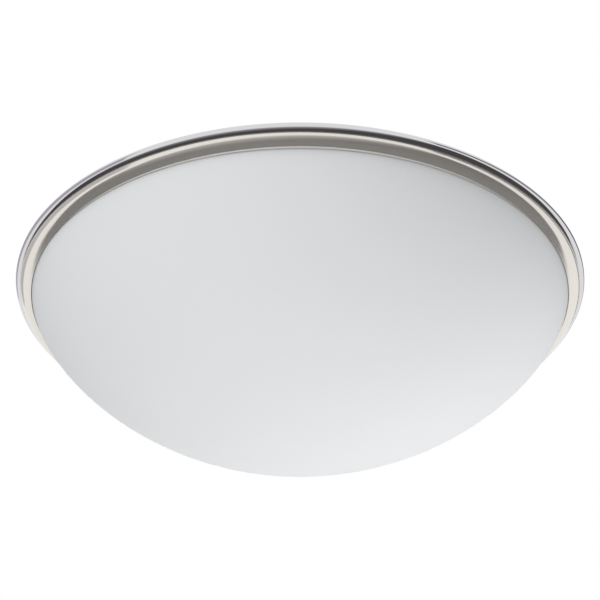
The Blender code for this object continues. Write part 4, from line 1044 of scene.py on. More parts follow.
def make_gasket(finishes):
    """Soft strip between the glass flange and the seat."""
    inner, outer, top = LIP_EDGE.x + GASKET_SETBACK, GLASS_FLANGE_RADIUS, FIT_GAP + GASKET_THICKNESS
    corners = ((inner, FIT_GAP), (outer, FIT_GAP), (outer, top), (inner, top))
    outline = rounded([(radius, seat_height(radius, lift), GASKET_CORNER) for radius, lift in corners])
    gasket = spun("seat_gasket", outline, finishes["gasket_silicone"], ROUND_STEPS, closed=True)
    hold(gasket, "cover", "gasket_silicone", "glass_gasket")


# Pan, its catches, rivets and grommet

LOOP_ANGLES = [math.tau * (step + 0.5) / ROUND_STEPS for step in range(ROUND_STEPS)]


def rib_loop(radius, height):
    """Round-ended loop about the fixing rib, along Y."""
    loop = []
    for angle in LOOP_ANGLES:
        across, along = math.cos(angle), math.sin(angle)
        reach = radius / abs(across)
        if reach * abs(along) > RIB_HALF_LENGTH:
            end = RIB_HALF_LENGTH * abs(along)
            reach = end + math.sqrt(radius ** 2 - (RIB_HALF_LENGTH * across) ** 2)
        loop.append((reach * across, reach * along, height))
    return loop


def round_loop(radius, height):
    """Circle about the Z axis with the same number of points as a rib loop."""
    return [(radius * math.cos(angle), radius * math.sin(angle), height) for angle in LOOP_ANGLES]


def turned_about(point, angle):
    """Point turned about the Z axis."""
    return Matrix.Rotation(angle, 2) @ Vector(point)


def pan_loops():
    """Loops of the pressed tray, from the rib's top outwards over the wall and back underneath."""
    slope = (RIB_FOOT_RADIUS - RIB_TOP_RADIUS) / -PLATE_TOP
    inner_rib = RIB_TOP_RADIUS + slope * PAN_SHEET - PAN_SHEET
    inner_foot = RIB_TOP_RADIUS - slope * PLATE_BOTTOM - PAN_SHEET
    wall_inside = PAN_WALL_RADIUS - PAN_SHEET
    near, far = PLATE_LOOPS
    upper = rounded([(RIB_CORE_RADIUS, 0), (RIB_TOP_RADIUS, 0, 0.0016), (RIB_FOOT_RADIUS, PLATE_TOP, 0.0024),
                     (near, PLATE_TOP)], closed=False)
    wall = rounded([
        (far, PLATE_TOP), (wall_inside, PLATE_TOP, PAN_BEND_RADIUS - PAN_SHEET),
        (wall_inside, PAN_RIM, PAN_RIM_CORNER), (PAN_WALL_RADIUS, PAN_RIM, PAN_RIM_CORNER),
        (PAN_WALL_RADIUS, PLATE_BOTTOM, PAN_BEND_RADIUS), (far, PLATE_BOTTOM)], closed=False)
    under = rounded([(near, PLATE_BOTTOM), (inner_foot, PLATE_BOTTOM, 0.0032),
                     (inner_rib, -PAN_SHEET, 0.0008), (RIB_CORE_RADIUS, -PAN_SHEET)], closed=False)
    return ([rib_loop(*point) for point in upper] + [round_loop(*point) for point in wall]
            + [rib_loop(*point) for point in under])


def keyhole(side):
    """Outline of a keyhole at one end of the rib: a round head with a slot that runs sideways."""
    opening = math.degrees(math.asin(KEYHOLE_HALF_SLOT / KEYHOLE_HEAD_RADIUS))
    outline = arc((0, 0), KEYHOLE_HEAD_RADIUS, opening, 360 - opening, steps=40)
    outline += arc((KEYHOLE_SLOT_REACH, 0), KEYHOLE_HALF_SLOT, -90, 90, steps=16)
    return [(side * point.x, side * (point.y + KEYHOLE_OFFSET)) for point in outline]


def make_back_pan(finishes):
    """Pressed tray: plate, upright wall with catch windows, fixing rib with keyholes, and cable hole."""
    pan = bodies("pan_work", [pan_loops()], finishes["white_enamel"])
    cut_from(pan, prisms("keyholes", [keyhole(side) for side in (1, -1)], -PAN_SHEET - OVERCUT, OVERCUT))
    block_screw = middle("terminal_block_screw")
    round_holes = [disc(-CABLE_HOLE_OFFSET, 0, CABLE_HOLE_RADIUS), disc(EARTH_OFFSET, 0, EARTH_HOLE_RADIUS),
                   disc(block_screw.x, block_screw.y, BLOCK_HOLE_RADIUS)]
    cut_from(pan, prisms("round_holes", round_holes, PLATE_BOTTOM - OVERCUT, PLATE_TOP + OVERCUT))
    half = CATCH_NOSE_BASE + WINDOW_MARGIN
    inner, outer = PAN_WALL_RADIUS - PAN_BEND_RADIUS - FIT_GAP, PAN_WALL_RADIUS + OVERCUT
    box = [(-half, inner), (half, inner), (half, outer), (-half, outer)]
    windows = [[turned_about(corner, math.radians(angle - 90)) for corner in box] for angle in CATCH_ANGLES]
    low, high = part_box("catch_spring_1")
    cut_from(pan, prisms("catch_windows", windows, low.z, high.z + FIT_GAP))
    hold(settle("enamelled_back_pan", pan), "pan", "white_enamel", "back_pan")


def along_wall(point, height):
    """World point from a distance along the wall and a radius, for the catch that faces +Y."""
    angle = QUARTER - point[0] / PAN_WALL_RADIUS
    return Vector((point[1] * math.cos(angle), point[1] * math.sin(angle), height))


def make_catches(finishes):
    """Three leaf springs behind the wall, each with a soft-bent nose and a foot folded onto the plate."""
    low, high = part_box("catch_spring_1")
    leaf = PAN_WALL_RADIUS - PAN_BEND_RADIUS - FIT_GAP
    inside, nose, fold = leaf - CATCH_SHEET, PAN_WALL_RADIUS + CATCH_NOSE_REACH, low.z + CATCH_FOLD
    bends = rounded([(-CATCH_LEAF, leaf), (-CATCH_NOSE_BASE, leaf, 0.0012), (-CATCH_NOSE_TIP, nose, 0.0009),
                     (CATCH_NOSE_TIP, nose, 0.0009), (CATCH_NOSE_BASE, leaf, 0.0012), (CATCH_TAIL, leaf)],
                    closed=False)
    path = stepped_ends(bends, first_step=0.002, last_step=0.002)
    spring = strip(*sheet_sides(path, -CATCH_SHEET), fold, high.z, along_wall)
    drop = rounded([(leaf, fold), (leaf, low.z, 0.0011), (leaf - CATCH_FOOT_LENGTH, low.z)], closed=False)
    drop, above = sheet_sides(drop, CATCH_SHEET)
    above = [Vector((min(point.x, inside), max(point.y, low.z + CATCH_SHEET))) for point in above]

    def foot_place(point, along):
        """World point of the foot's section at a distance along the wall."""
        return along_wall((along, point.x), point.y)

    foot = strip(drop, above, -CATCH_LEAF, -CATCH_LEAF + CATCH_FOOT_WIDTH, foot_place, steps=5)
    catch = bodies("catch_work", [spring, foot], finishes["spring_steel"])
    soften(catch, width=0.00008)
    give_tree(catch, catches_tree(), {"Count": len(CATCH_ANGLES), "Finish": finishes["spring_steel"]})
    hold(settle("spring_catches", catch), "pan", "spring_steel",
         *[f"catch_spring_{number}" for number in (1, 2, 3)])


def set_fasteners(name, slot, groups, outline, finishes, thread=None, closed=False, **sizes):
    """Equal turned fasteners in the places of the plain ones, all on the pan.

    groups holds (nodes, facing, across): facing runs from head to tip, across along the slot.
    """
    made = []
    guide = section_of(name, outline, thread, closed)
    for nodes, facing, across in groups:
        heads = [middle(node) - facing * abs(span(node).dot(facing)) / 2 for node in nodes]
        places = point_mesh(name + "_places", heads, {"facing": [facing] * len(nodes),
                                                      "across": [across] * len(nodes)})
        inputs = {label.replace("_", " ").title(): size for label, size in sizes.items()}
        give_tree(places, FASTENERS, {"Section": guide, "Finish": finishes[slot], **inputs})
        made.append(settle(name, places))
    discard(guide)
    hold(joined(name, made, finishes[slot]), "pan", slot, *[node for group in groups for node in group[0]])


def set_screws(name, groups, finishes, head, height, shank, slot, crossed=True, thread=(0.0, 0.0007, 0.0)):
    """Pan-head screws by radius of head and shank and height of head.

    slot is (length, width, depth); thread is (start below the head's top, pitch, depth).
    """
    nodes, facing, _ = groups[0]
    start, pitch, depth = thread
    outline = screw_outline(head, height, shank, abs(span(nodes[0]).dot(facing)))

    def weight(point):
        """Share of the thread at a point of the section."""
        return ramp(point.y, start, start + SCREW_THREAD_RUN_IN) if point.x > shank - 0.0001 else 0.0

    set_fasteners(name, "zinc_plate", groups, outline, finishes, weight, slot_length=slot[0],
                  slot_width=slot[1], slot_depth=slot[2], crossed=crossed, thread_pitch=pitch,
                  thread_depth=depth)


def screw_outline(head, height, shank, length, step=0.00018):
    """Section of a pan-head screw, with its tip along +Z and its head's top at zero."""
    corners = rounded([(0, 0), (head * 0.72, 0, head * 0.3), (head, height * 0.62, head * 0.16),
                       (head, height, head * 0.06), (shank, height, 0.0001)], closed=False, steps=6)[:-1]
    top, bottom = Vector((shank, height)), Vector((shank, length - shank * 0.4))
    return (corners + [top] + stepped(top + Vector((0, step)), bottom, step)
            + [bottom, Vector((shank * 0.6, length)), Vector((0, length))])


def make_rivets(finishes):
    """Rivets of the catches and of the lamp brackets, from the crown of the head to the rolled tail."""
    brackets = [f"bracket_rivet_{lamp}_{end}" for lamp in (1, 2) for end in ("inner", "outer")]
    for name, nodes in (("catch_rivets", [f"catch_rivet_{number}" for number in (1, 2, 3)]),
                        ("bracket_rivets", brackets)):
        length = span(nodes[0]).z
        crown = dome(RIVET_HEAD_RADIUS, RIVET_HEAD_HEIGHT, steps=8)
        tail = [Vector((point.x, length - point.y * RIVET_TAIL_SHARE)) for point in reversed(crown)]
        shank = [Vector((RIVET_RADIUS, height)) for height in (RIVET_HEAD_HEIGHT, length - RIVET_HEAD_HEIGHT)]
        set_fasteners(name, "zinc_plate", [(nodes, UP, ALONG_X)], crown + shank + tail, finishes)


def make_grommet(finishes):
    """Rubber bush with two rounded lips that grip the edge of the cable hole."""
    neck, lip = CABLE_HOLE_RADIUS - FIT_GAP, CABLE_HOLE_RADIUS + GROMMET_LIP
    upper, lower = PLATE_TOP + FIT_GAP, PLATE_BOTTOM - FIT_GAP
    top, bottom = upper + GROMMET_LIP_THICKNESS, lower - GROMMET_LIP_THICKNESS
    outline = rounded([
        (GROMMET_BORE_RADIUS, bottom, 0.0006), (lip, bottom, 0.0009), (lip, lower, 0.0002), (neck, lower),
        (neck, upper), (lip, upper, 0.0002), (lip, top, 0.0009), (GROMMET_BORE_RADIUS, top, 0.0006)])
    bush = spun("cable_bush", outline, finishes["grommet_rubber"], segments=72, closed=True,
                place=Matrix.Translation((-CABLE_HOLE_OFFSET, 0, 0)))
    hold(bush, "pan", "grommet_rubber", "cable_grommet")


# Lamps: brackets, lampholders and bulbs

def lamp_place(number):
    """Place of a lamp: origin at the back of its holder, Z along the bulb, X towards the floor."""
    side = 1 if number == 1 else -1
    spot = Matrix.Translation((-side * LAMP_BACK_OFFSET, side * LAMP_SIDE_OFFSET, LAMP_AXIS_HEIGHT))
    turn = Matrix.Rotation(0 if number == 1 else math.pi, 4, "Z")
    return spot @ turn @ Matrix.Rotation(QUARTER, 4, "Y")


def corner_pull(radius, distance):
    """How far a round corner draws an edge in, at a distance from the end of a strip."""
    short = radius - min(distance, radius)
    return radius - math.sqrt(max(0.0, radius ** 2 - short ** 2))


def make_bracket(number, finishes):
    """Bent steel strip: foot on the plate, rounded bend and an upright leg with round lower corners."""
    foot_face = LAMP_AXIS_HEIGHT - PLATE_BOTTOM + FIT_GAP
    front, foot_end = -FIT_GAP, -FIT_GAP - BRACKET_FOOT
    bends = rounded([(foot_end, foot_face), (front, foot_face, BRACKET_BEND), (front, BRACKET_BELOW_AXIS)],
                    closed=False, steps=8)
    path, inner = sheet_sides(stepped_ends(bends, first_step=0.001, last_step=0.0008), BRACKET_SHEET)

    def narrow(index):
        """How far the corners of leg and foot pull the edges in."""
        return (corner_pull(BRACKET_CORNER, BRACKET_BELOW_AXIS - path[index].y)
                + corner_pull(BRACKET_CORNER / 2, path[index].x - foot_end))

    def spot(point, across):
        """Place of a point of the strip's section on the lamp's axis."""
        return Vector((point.y, across, point.x))

    half = BRACKET_WIDTH / 2
    sheet = strip(path, inner, -half, half, spot, narrow=narrow)
    bracket = bodies("bracket_work", [sheet], finishes["zinc_plate"])
    holes = [disc(0, side * HOLDER_PITCH, LEAD_RADIUS * 2, steps=24) for side in (1, -1)]
    cut_from(bracket, prisms("lead_holes", holes, front - BRACKET_SHEET - OVERCUT, front + OVERCUT))
    soften(bracket, width=0.00012, angle=55)
    bracket = settle(f"lamp_bracket_{number}", bracket, lamp_place(number))
    hold(bracket, "pan", "zinc_plate", f"holder_bracket_{number}")


def make_holder(number, finishes):
    """Glazed porcelain lampholder with a narrower neck and a groove round it."""
    neck, shoulder = HOLDER_RADIUS - HOLDER_NECK_INSET, HOLDER_NECK_LENGTH + HOLDER_SHOULDER
    groove = HOLDER_RADIUS - HOLDER_GROOVE_DEPTH
    ends = [HOLDER_LENGTH - distance for distance in HOLDER_GROOVE]
    outline = rounded([
        (0, 0), (neck, 0, 0.0009), (neck, HOLDER_NECK_LENGTH, 0.0016), (HOLDER_RADIUS, shoulder, 0.0022),
        (HOLDER_RADIUS, ends[0], 0.0004), (groove, ends[1], 0.0003), (groove, ends[2], 0.0003),
        (HOLDER_RADIUS, ends[3], 0.0004), (HOLDER_RADIUS, HOLDER_LENGTH, 0.0014),
        (HOLDER_BORE_RADIUS, HOLDER_LENGTH, 0.0010), (HOLDER_BORE_RADIUS, HOLDER_FLOOR, 0.0008),
        (0, HOLDER_FLOOR)], closed=False)
    body = spun(f"porcelain_holder_{number}", outline, finishes["porcelain"], place=lamp_place(number))
    hold(body, "pan", "porcelain", f"lampholder_{number}")


def make_shell(number, finishes):
    """Brass screw shell: an open floor and a wall with a rolled thread."""
    low, top, inner = SHELL_FLOOR, HOLDER_LENGTH - SHELL_SETBACK, CAP_RADIUS + SHELL_CLEARANCE
    start, end, bend = low + SHELL_WALL_START, Vector((inner, top)), low + SHELL_BEND_TOP
    wall = stepped(Vector((inner, start)), end, THREAD_ROW) + [end]
    outside = [point + Vector((SHELL_SHEET, 0)) for point in reversed(wall)]
    section = wall + outside
    section += rounded([(inner + SHELL_SHEET, bend), (inner + SHELL_SHEET, low, 0.0006),
                        (SHELL_HOLE_RADIUS, low)], closed=False)[1:]
    section += rounded([(SHELL_HOLE_RADIUS, low + SHELL_SHEET), (inner, low + SHELL_SHEET, 0.0004),
                        (inner, bend)], closed=False)[:-1]

    def weight(point):
        """Share of the thread at a point of the section."""
        return thread_share(point.y, low, top, SHELL_THREAD)

    shell = spun(f"thread_shell_{number}", section, finishes["brass"], segments=72, closed=True,
                 place=lamp_place(number), sharp=50, thread=weight, depth=-THREAD_DEPTH * SHELL_THREAD_DEPTH)
    hold(shell, "pan", "brass", f"screw_shell_{number}")


def make_tongue(number, finishes):
    """Sprung centre contact: a narrow leaf with a raised middle and a free end."""
    low, crest, reach = SHELL_FLOOR, SHELL_FLOOR + TONGUE_RISE, SHELL_HOLE_RADIUS - TONGUE_MARGIN
    bends = rounded([(-reach, low), (-reach / 2, low, 0.0012), (-reach / 4, crest, 0.0012),
                     (reach / 4, crest, 0.0016), (reach, (low + crest) / 2)], closed=False)

    def spot(point, across):
        """Place of a point of the leaf's section on the lamp's axis."""
        return Vector((point.x, across, point.y))

    leaf = strip(*sheet_sides(bends, TONGUE_SHEET), -TONGUE_HALF_WIDTH, TONGUE_HALF_WIDTH, spot)
    tongue = bodies("tongue_work", [leaf], finishes["brass"])
    soften(tongue, width=0.0001)
    tongue = settle(f"centre_contact_{number}", tongue, lamp_place(number))
    hold(tongue, "pan", "brass", f"contact_tongue_{number}")


def make_contact(number, finishes):
    """Domed solder at the bulb's tip."""
    button = [point + Vector((0, BULB_TIP))
              for point in dome(CONTACT_RADIUS, (CONTACT_TOP - BULB_TIP) * CONTACT_DOME_SHARE, steps=10)]
    button += [(CONTACT_RADIUS, CONTACT_TOP), (0, CONTACT_TOP)]
    contact = spun(f"solder_contact_{number}", button, finishes["contact_solder"], segments=48,
                   place=lamp_place(number))
    hold(contact, f"bulb_{number}", "contact_solder", f"bulb_contact_{number}")


def make_insulator(number, finishes):
    """Black glass cone between the contact and the cap."""
    floor, edge = CONTACT_TOP + FIT_GAP, CAP_FOOT_RADIUS - CAP_SHEET - FIT_GAP
    cone = rounded([(0, floor), (INSULATOR_TIP_RADIUS, floor, 0.0006), (edge, CAP_FOOT, 0.0008),
                    (edge, INSULATOR_TOP), (0, INSULATOR_TOP)], closed=False)
    insulator = spun(f"glass_insulator_{number}", cone, finishes["black_vitrite"], segments=64,
                     place=lamp_place(number))
    hold(insulator, f"bulb_{number}", "black_vitrite", f"bulb_insulator_{number}")


def make_cap(number, finishes):
    """Aluminium cap: a cone at the foot and a barrel with a rolled thread."""
    start, stop = Vector((CAP_RADIUS, CAP_FOOT + CAP_CONE_LENGTH)), Vector((CAP_RADIUS, CAP_RIM))
    outside = [Vector((radius, CAP_FOOT + rise)) for radius, rise in CAP_CONE]
    outside += stepped(start, stop, THREAD_ROW) + [stop]
    inside = [point - Vector((CAP_SHEET, 0)) for point in reversed(outside)]

    def weight(point):
        """Share of the thread at a point of the section."""
        return thread_share(point.y, CAP_FOOT, CAP_RIM, CAP_THREAD)

    cap = spun(f"threaded_cap_{number}", outside + inside, finishes["cap_aluminium"], segments=80,
               closed=True, place=lamp_place(number), sharp=60, thread=weight, depth=THREAD_DEPTH)
    hold(cap, f"bulb_{number}", "cap_aluminium", f"bulb_cap_{number}")


def make_envelope(number, finishes):
    """Frosted ball on a curved waist, with a neck that reaches down inside the cap."""
    waist, base = CAP_RADIUS + BULB_WAIST_MARGIN, CAP_RIM + FIT_GAP
    fillet = Vector((waist + BULB_FILLET_RADIUS, base + BULB_WAIST_LENGTH))
    rise = math.sqrt((BULB_RADIUS + BULB_FILLET_RADIUS) ** 2 - fillet.x ** 2)
    crown = Vector((0, fillet.y + rise))
    meeting = math.degrees(math.atan2(rise, fillet.x))
    neck, neck_low = CAP_RADIUS - THREAD_DEPTH - CAP_SHEET - FIT_GAP, CAP_RIM - BULB_NECK_LENGTH
    outside = rounded([(neck, neck_low), (neck, base, 0.0003), (waist, base, 0.0006), (waist, fillet.y)],
                      closed=False)[:-1]
    outside += arc(fillet, BULB_FILLET_RADIUS, 180, 180 - meeting, steps=18)
    outside += arc(crown, BULB_RADIUS, -meeting, 90, steps=36)[1:]
    outside[-1].x = 0.0
    inside = arc(crown, BULB_RADIUS - BULB_WALL, 90, -meeting, steps=20)
    inside[0].x = 0.0
    inside += arc(fillet, BULB_FILLET_RADIUS + BULB_WALL, 180 - meeting, 180, steps=10)[1:]
    inside += [(neck - BULB_WALL, CAP_RIM - FIT_GAP), (neck - BULB_WALL, neck_low)]
    envelope = spun(f"frosted_bulb_{number}", inside + outside, finishes["frosted_bulb_glass"], segments=112,
                    place=lamp_place(number))
    hold(envelope, f"bulb_{number}", "frosted_bulb_glass", f"bulb_glass_{number}")


def make_holder_screws(finishes):
    """Cross-head screws that hold the porcelain to the brackets."""
    groups = [([f"holder_screw_{number}_{end}" for end in ("lower", "upper")], ALONG_X * side,
               Vector((0, 0.8, 0.6))) for number, side in ((1, 1), (2, -1))]
    set_screws("holder_screws", groups, finishes, head=0.0030, height=0.0018, shank=0.0015,
               slot=(0.0034, 0.0007, 0.0009))


# Connector block, earth point and leads

def make_block(finishes):
    """Three-pole moulded block with grooves, wire bores and screw wells."""
    bottom, side = BLOCK_TOP - BLOCK_HEIGHT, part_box("terminal_block")[1].y
    half_pole, half_length = side - BLOCK_PITCH, BLOCK_LENGTH / 2
    poles = (-BLOCK_PITCH, 0, BLOCK_PITCH)
    groove = bottom + BLOCK_GROOVE_DEPTH
    outline = [(-side, BLOCK_TOP), (-side, bottom)]
    for pole, following in zip(poles, poles[1:]):
        near, far = pole + half_pole, following - half_pole
        outline += [(near, bottom), (near, groove), (far, groove), (far, bottom)]
    outline += [(side, bottom), (side, BLOCK_TOP)]
    block = bars("block_work", [outline], BLOCK_OFFSET - half_length, BLOCK_OFFSET + half_length,
                 finishes["terminal_polyamide"])
    soften(block, width=0.0006, segments=3, angle=40)
    bore = span("terminal_insert_live").y / 2 + FIT_GAP
    cut_from(block, bars("wire_bores", [disc(pole, BORE_HEIGHT, bore, steps=32) for pole in poles],
                         BLOCK_OFFSET - half_length - OVERCUT, BLOCK_OFFSET + half_length + OVERCUT))
    wells = [disc(BLOCK_OFFSET + end * TERMINAL_SCREW_SPACING / 2, pole, SCREW_WELL_RADIUS, steps=32)
             for pole in poles for end in (-1, 1)]
    cut_from(block, prisms("screw_wells", wells, bottom - OVERCUT, BORE_HEIGHT))
    fixing = disc(BLOCK_OFFSET, BLOCK_PITCH / 2, BLOCK_HOLE_RADIUS, steps=24)
    cut_from(block, prisms("fixing_bore", [fixing], bottom, BLOCK_TOP + OVERCUT))
    hold(settle("connector_block", block), "pan", "terminal_polyamide", "terminal_block")


POLES = ("live", "earth", "neutral")


def make_tubes(finishes):
    """Brass tubes of the block."""
    nodes = [f"terminal_insert_{pole}" for pole in POLES]
    size = span(nodes[0])
    tube = rounded([(radius, end, TUBE_CORNER) for radius, end in (
        (TUBE_BORE_RADIUS, 0), (size.z / 2, 0), (size.z / 2, size.x), (TUBE_BORE_RADIUS, size.x))])
    set_fasteners("terminal_tubes", "brass", [(nodes, ALONG_X, ALONG_Y)], tube, finishes, closed=True)


def make_terminal_screws(finishes):
    """Slotted screws that clamp the wires in the tubes."""
    nodes = [f"terminal_screw_{pole}_{end}" for pole in POLES for end in ("mains", "lamp")]
    set_screws("terminal_screws", [(nodes, UP, Vector((0.94, 0.34, 0)))], finishes, head=0.0018,
               height=0.0012, shank=0.0013, slot=(0.0045, 0.0005, 0.0006), crossed=False)


def make_block_screw(finishes):
    """Threaded cross-head screw that holds the block to the plate."""
    set_screws("block_screw", [(["terminal_block_screw"], UP, Vector((0.6, 0.8, 0)))], finishes, head=0.0021,
               height=0.0015, shank=0.0014, slot=(0.0026, 0.0005, 0.0008), thread=(0.002, 0.0010, 0.0003))


def make_washer(finishes):
    """Toothed washer under the plate."""
    size = span("earth_washer")
    outer, half = size.x / 2, size.z / 2
    ring = rounded([(radius, height, 0.0001) for radius, height in (
        (WASHER_HOLE_RADIUS, -half), (outer * WASHER_RING_SHARE, -half), (outer * WASHER_RING_SHARE, half),
        (WASHER_HOLE_RADIUS, half))])
    section = section_of("washer", ring, closed=True)
    give_tree(section, toothed_washer_tree(), {
        "Finish": finishes["spring_steel"], "Tooth Radius": outer * TOOTH_MIDDLE_SHARE,
        "Tooth Length": outer * TOOTH_LENGTH_SHARE, "Tooth Thickness": half})
    place = Matrix.Translation((EARTH_OFFSET, 0, PLATE_BOTTOM - FIT_GAP - half))
    hold(settle("toothed_washer", section, place), "pan", "spring_steel", "earth_washer")


def make_lug(finishes):
    """Ring lug of sheet brass with a crimped barrel."""
    washer = span("earth_washer")
    top = PLATE_BOTTOM - washer.z - 2 * FIT_GAP
    opening = math.degrees(math.asin(LUG_TONGUE_HALF_WIDTH / LUG_RADIUS))
    outline = arc((0, 0), LUG_RADIUS, -180 + opening, 180 - opening, steps=48)
    outline += [(LUG_TONGUE_END, LUG_TONGUE_HALF_WIDTH), (LUG_TONGUE_END, -LUG_TONGUE_HALF_WIDTH)]
    lug = prisms("lug_work", [outline], top - LUG_SHEET, top, finishes["brass"])
    cut_from(lug, prisms("lug_hole", [disc(0, 0, EARTH_HOLE_RADIUS)], top - LUG_SHEET - OVERCUT,
                         top + OVERCUT))
    soften(lug, width=0.00012, segments=2)
    lug = settle("lug_plate", lug, Matrix.Translation((EARTH_OFFSET, 0, 0)))
    shares = [step / CRIMP_STEPS for step in range(CRIMP_STEPS + 1)]
    crimp = [BARREL_RADIUS - CRIMP_DEPTH * math.exp(-((share - CRIMP_PLACE) / CRIMP_WIDTH) ** 2)
             for share in shares]
    floor = BARREL_LENGTH - BARREL_BORE_DEPTH
    section = [(0, 0)] + [(radius, BARREL_LENGTH * share) for radius, share in zip(crimp, shares)]
    section += [(BARREL_BORE_RADIUS, BARREL_LENGTH), (BARREL_BORE_RADIUS, floor), (0, floor)]
    start = Vector((EARTH_OFFSET - washer.x / 2 - FIT_GAP, 0, PLATE_BOTTOM - FIT_GAP - BARREL_RADIUS))
    barrel = spun("lug_barrel", section, finishes["brass"], segments=40,
                  place=Matrix.Translation(start) @ Matrix.Rotation(-QUARTER, 4, "Y"))
    hold(joined("crimped_lug", [lug, barrel], finishes["brass"]), "pan", "brass", "earth_lug")


def make_earth_screw(finishes):
    """Threaded cross-head screw that bonds the pan."""
    set_screws("earth_bond_screw", [(["earth_screw"], UP, Vector((0.8, 0.6, 0)))], finishes, head=0.0040,
               height=0.0022, shank=0.0019, slot=(0.0046, 0.0009, 0.0012), thread=(0.003, 0.0007, 0.00035))


LEAD_ROUTES = {
    "live_lead_1": (
        (-0.075, 0.050, -0.041), (-0.079, 0.041, -0.035), (-0.078, 0.031, -0.026), (-0.071, 0.0235, -0.016),
        (-0.058, 0.020, -0.0102), (-0.036, 0.0195, -0.0093), (0, 0.0195, -0.0093), (0.030, 0.0195, -0.0093),
        (0.046, 0.0195, -0.0097), (0.0525, 0.0175, -0.0108), (0.0525, 0.0138, -0.0121),
    ),
    "neutral_lead_1": (
        (-0.072, 0.034, -0.041), (-0.0735, 0.027, -0.036), (-0.070, 0.0215, -0.027),
        (-0.061, 0.0195, -0.0185), (-0.048, 0.019, -0.014), (-0.028, 0.019, -0.013), (0, 0.019, -0.013),
        (0.030, 0.019, -0.013), (0.042, 0.0186, -0.014), (0.050, 0.014, -0.0185), (0.053, 0.004, -0.0225),
        (0.052, -0.006, -0.020), (0.0485, -0.0112, -0.0162),
    ),
    "live_lead_2": (
        (0.0725, -0.034, -0.041), (0.0745, -0.026, -0.036), (0.071, -0.012, -0.028), (0.063, 0.002, -0.021),
        (0.0535, 0.0106, -0.0162),
    ),
    "neutral_lead_2": (
        (0.075, -0.050, -0.040), (0.0775, -0.041, -0.031), (0.072, -0.029, -0.022), (0.062, -0.018, -0.0155),
        (0.053, -0.0126, -0.0131),
    ),
}


def lead_routes():
    """Every lead's own points from end to end, by the name of its plain piece."""
    face = BLOCK_OFFSET + BLOCK_LENGTH / 2
    block_stretch = (face + LEAD_STRAIGHT, face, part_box("terminal_insert_live")[1].x + FIT_GAP)
    routes = {}
    for number, side in ((1, 1), (2, -1)):
        for wire, pole in (("live", 1), ("neutral", -1)):
            name = f"{wire}_lead_{number}"
            beside = side * LAMP_SIDE_OFFSET + pole * HOLDER_PITCH
            offsets = -LEAD_TAIL, 0, BRACKET_SHEET + LEAD_STRAIGHT
            end = BORE_HEIGHT + side * pole * LEAD_PAIR_OFFSET
            routes[name] = [(-side * (LAMP_BACK_OFFSET + offset), beside, LAMP_AXIS_HEIGHT)
                            for offset in offsets]
            routes[name] += [*LEAD_ROUTES[name], *[(x, pole * BLOCK_PITCH, end) for x in block_stretch]]
    lug_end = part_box("earth_lead")[1].x
    mouth = lug_end - EARTH_LEAD_INSERTION
    lug_height = PLATE_BOTTOM - FIT_GAP - BARREL_RADIUS
    routes["earth_lead"] = [(x, 0, BORE_HEIGHT) for x in reversed(block_stretch)]
    routes["earth_lead"] += [(x, 0, lug_height) for x in (mouth - LEAD_STRAIGHT, mouth, lug_end)]
    return routes


def make_leads(finishes):
    """Insulated leads, grouped by colour."""
    routes = lead_routes()
    tree = leads_tree()
    for name, slot, nodes in (
            ("brown_leads", "brown_insulation", ("live_lead_1", "live_lead_2")),
            ("blue_leads", "blue_insulation", ("neutral_lead_1", "neutral_lead_2")),
            ("earth_wire", "green_insulation", ("earth_lead",))):
        points, edges = [], []
        for node in nodes:
            start = len(points)
            points += routes[node]
            edges += [(index, index + 1) for index in range(start, len(points) - 1)]
        wires = point_mesh(name + "_routes", points, edges=edges)
        give_tree(wires, tree, {"Finish": finishes[slot]})
        hold(settle(name, wires, sharp=60), "pan", slot, *nodes)


# Stage: camera, floor, reflections, lamps and room

VIEW_HEIGHT = -0.0078
VIEW_DISTANCE = 1.6
VIEW_ELEVATION = 32.77
LENS = 135.9
FLOOR_HEIGHT = -2.6
FLOOR_RADIUS = 3.9

# Azimuth in degrees and how far below the horizon the dark floor card ends there
CARD_RIM = ((0, 18), (26, 28), (63, 36), (90, 37), (114, 36.5), (144, 37), (180, 25), (201, 23), (225, 17.5),
            (248, 12), (270, 6), (314, 6), (337, 12.5))
CARD_LIFT = 0.02
CARD_STEPS = 6
CARD_FADE_DIRECTION = (0.42, 0.906, 0.0)

# Name, first and last azimuth, lowest and highest elevation, shade
FLAGS = (("right_flag", -40, 66, 14, 38, (0.16, 0.155, 0.17)),
         ("left_flag", 125, 205, -6, 38, (0.50, 0.49, 0.52)))
FLAG_DISTANCE = 6.0
FLAG_STEPS = 12

# Name, azimuth, elevation, power
SOFTBOXES = (("front_left_softbox", 240, 20, 22.1), ("under_softbox", 0, -88, 26.4),
             ("back_right_softbox", 48, -18, 14.9), ("left_softbox", 158, 0, 2.7))
SOFTBOX_DISTANCE = 2.2
SOFTBOX_WIDTH = 1.8
SOFTBOX_AIM = Vector((0, 0, -0.06))
ROOM_LIGHT = 0.368


def seen_at(azimuth, elevation, distance):
    """Point at a direction and distance from the ring."""
    turn, rise = math.radians(azimuth), math.radians(elevation)
    level = math.cos(rise)
    return Vector((math.cos(turn) * level, math.sin(turn) * level, math.sin(rise))) * distance


def stand(name, data, place, aim):
    """Put a camera or a lamp in its place, turned to its aim."""
    thing = bpy.data.objects.new(name, data)
    thing.location = place
    thing.rotation_mode = "QUATERNION"
    thing.rotation_quaternion = (aim - place).to_track_quat("-Z", "Y")
    bpy.context.scene.collection.objects.link(thing)
    return thing


def make_camera():
    """Camera below the light and in front of it, at the photograph's angle."""
    data = bpy.data.cameras.new("camera")
    data.lens = LENS
    data.sensor_width = 36.0
    data.clip_end = 50.0
    aim = Vector((0, 0, VIEW_HEIGHT))
    place = aim + seen_at(270, -VIEW_ELEVATION, VIEW_DISTANCE)
    bpy.context.scene.camera = stand("camera", data, place, aim)


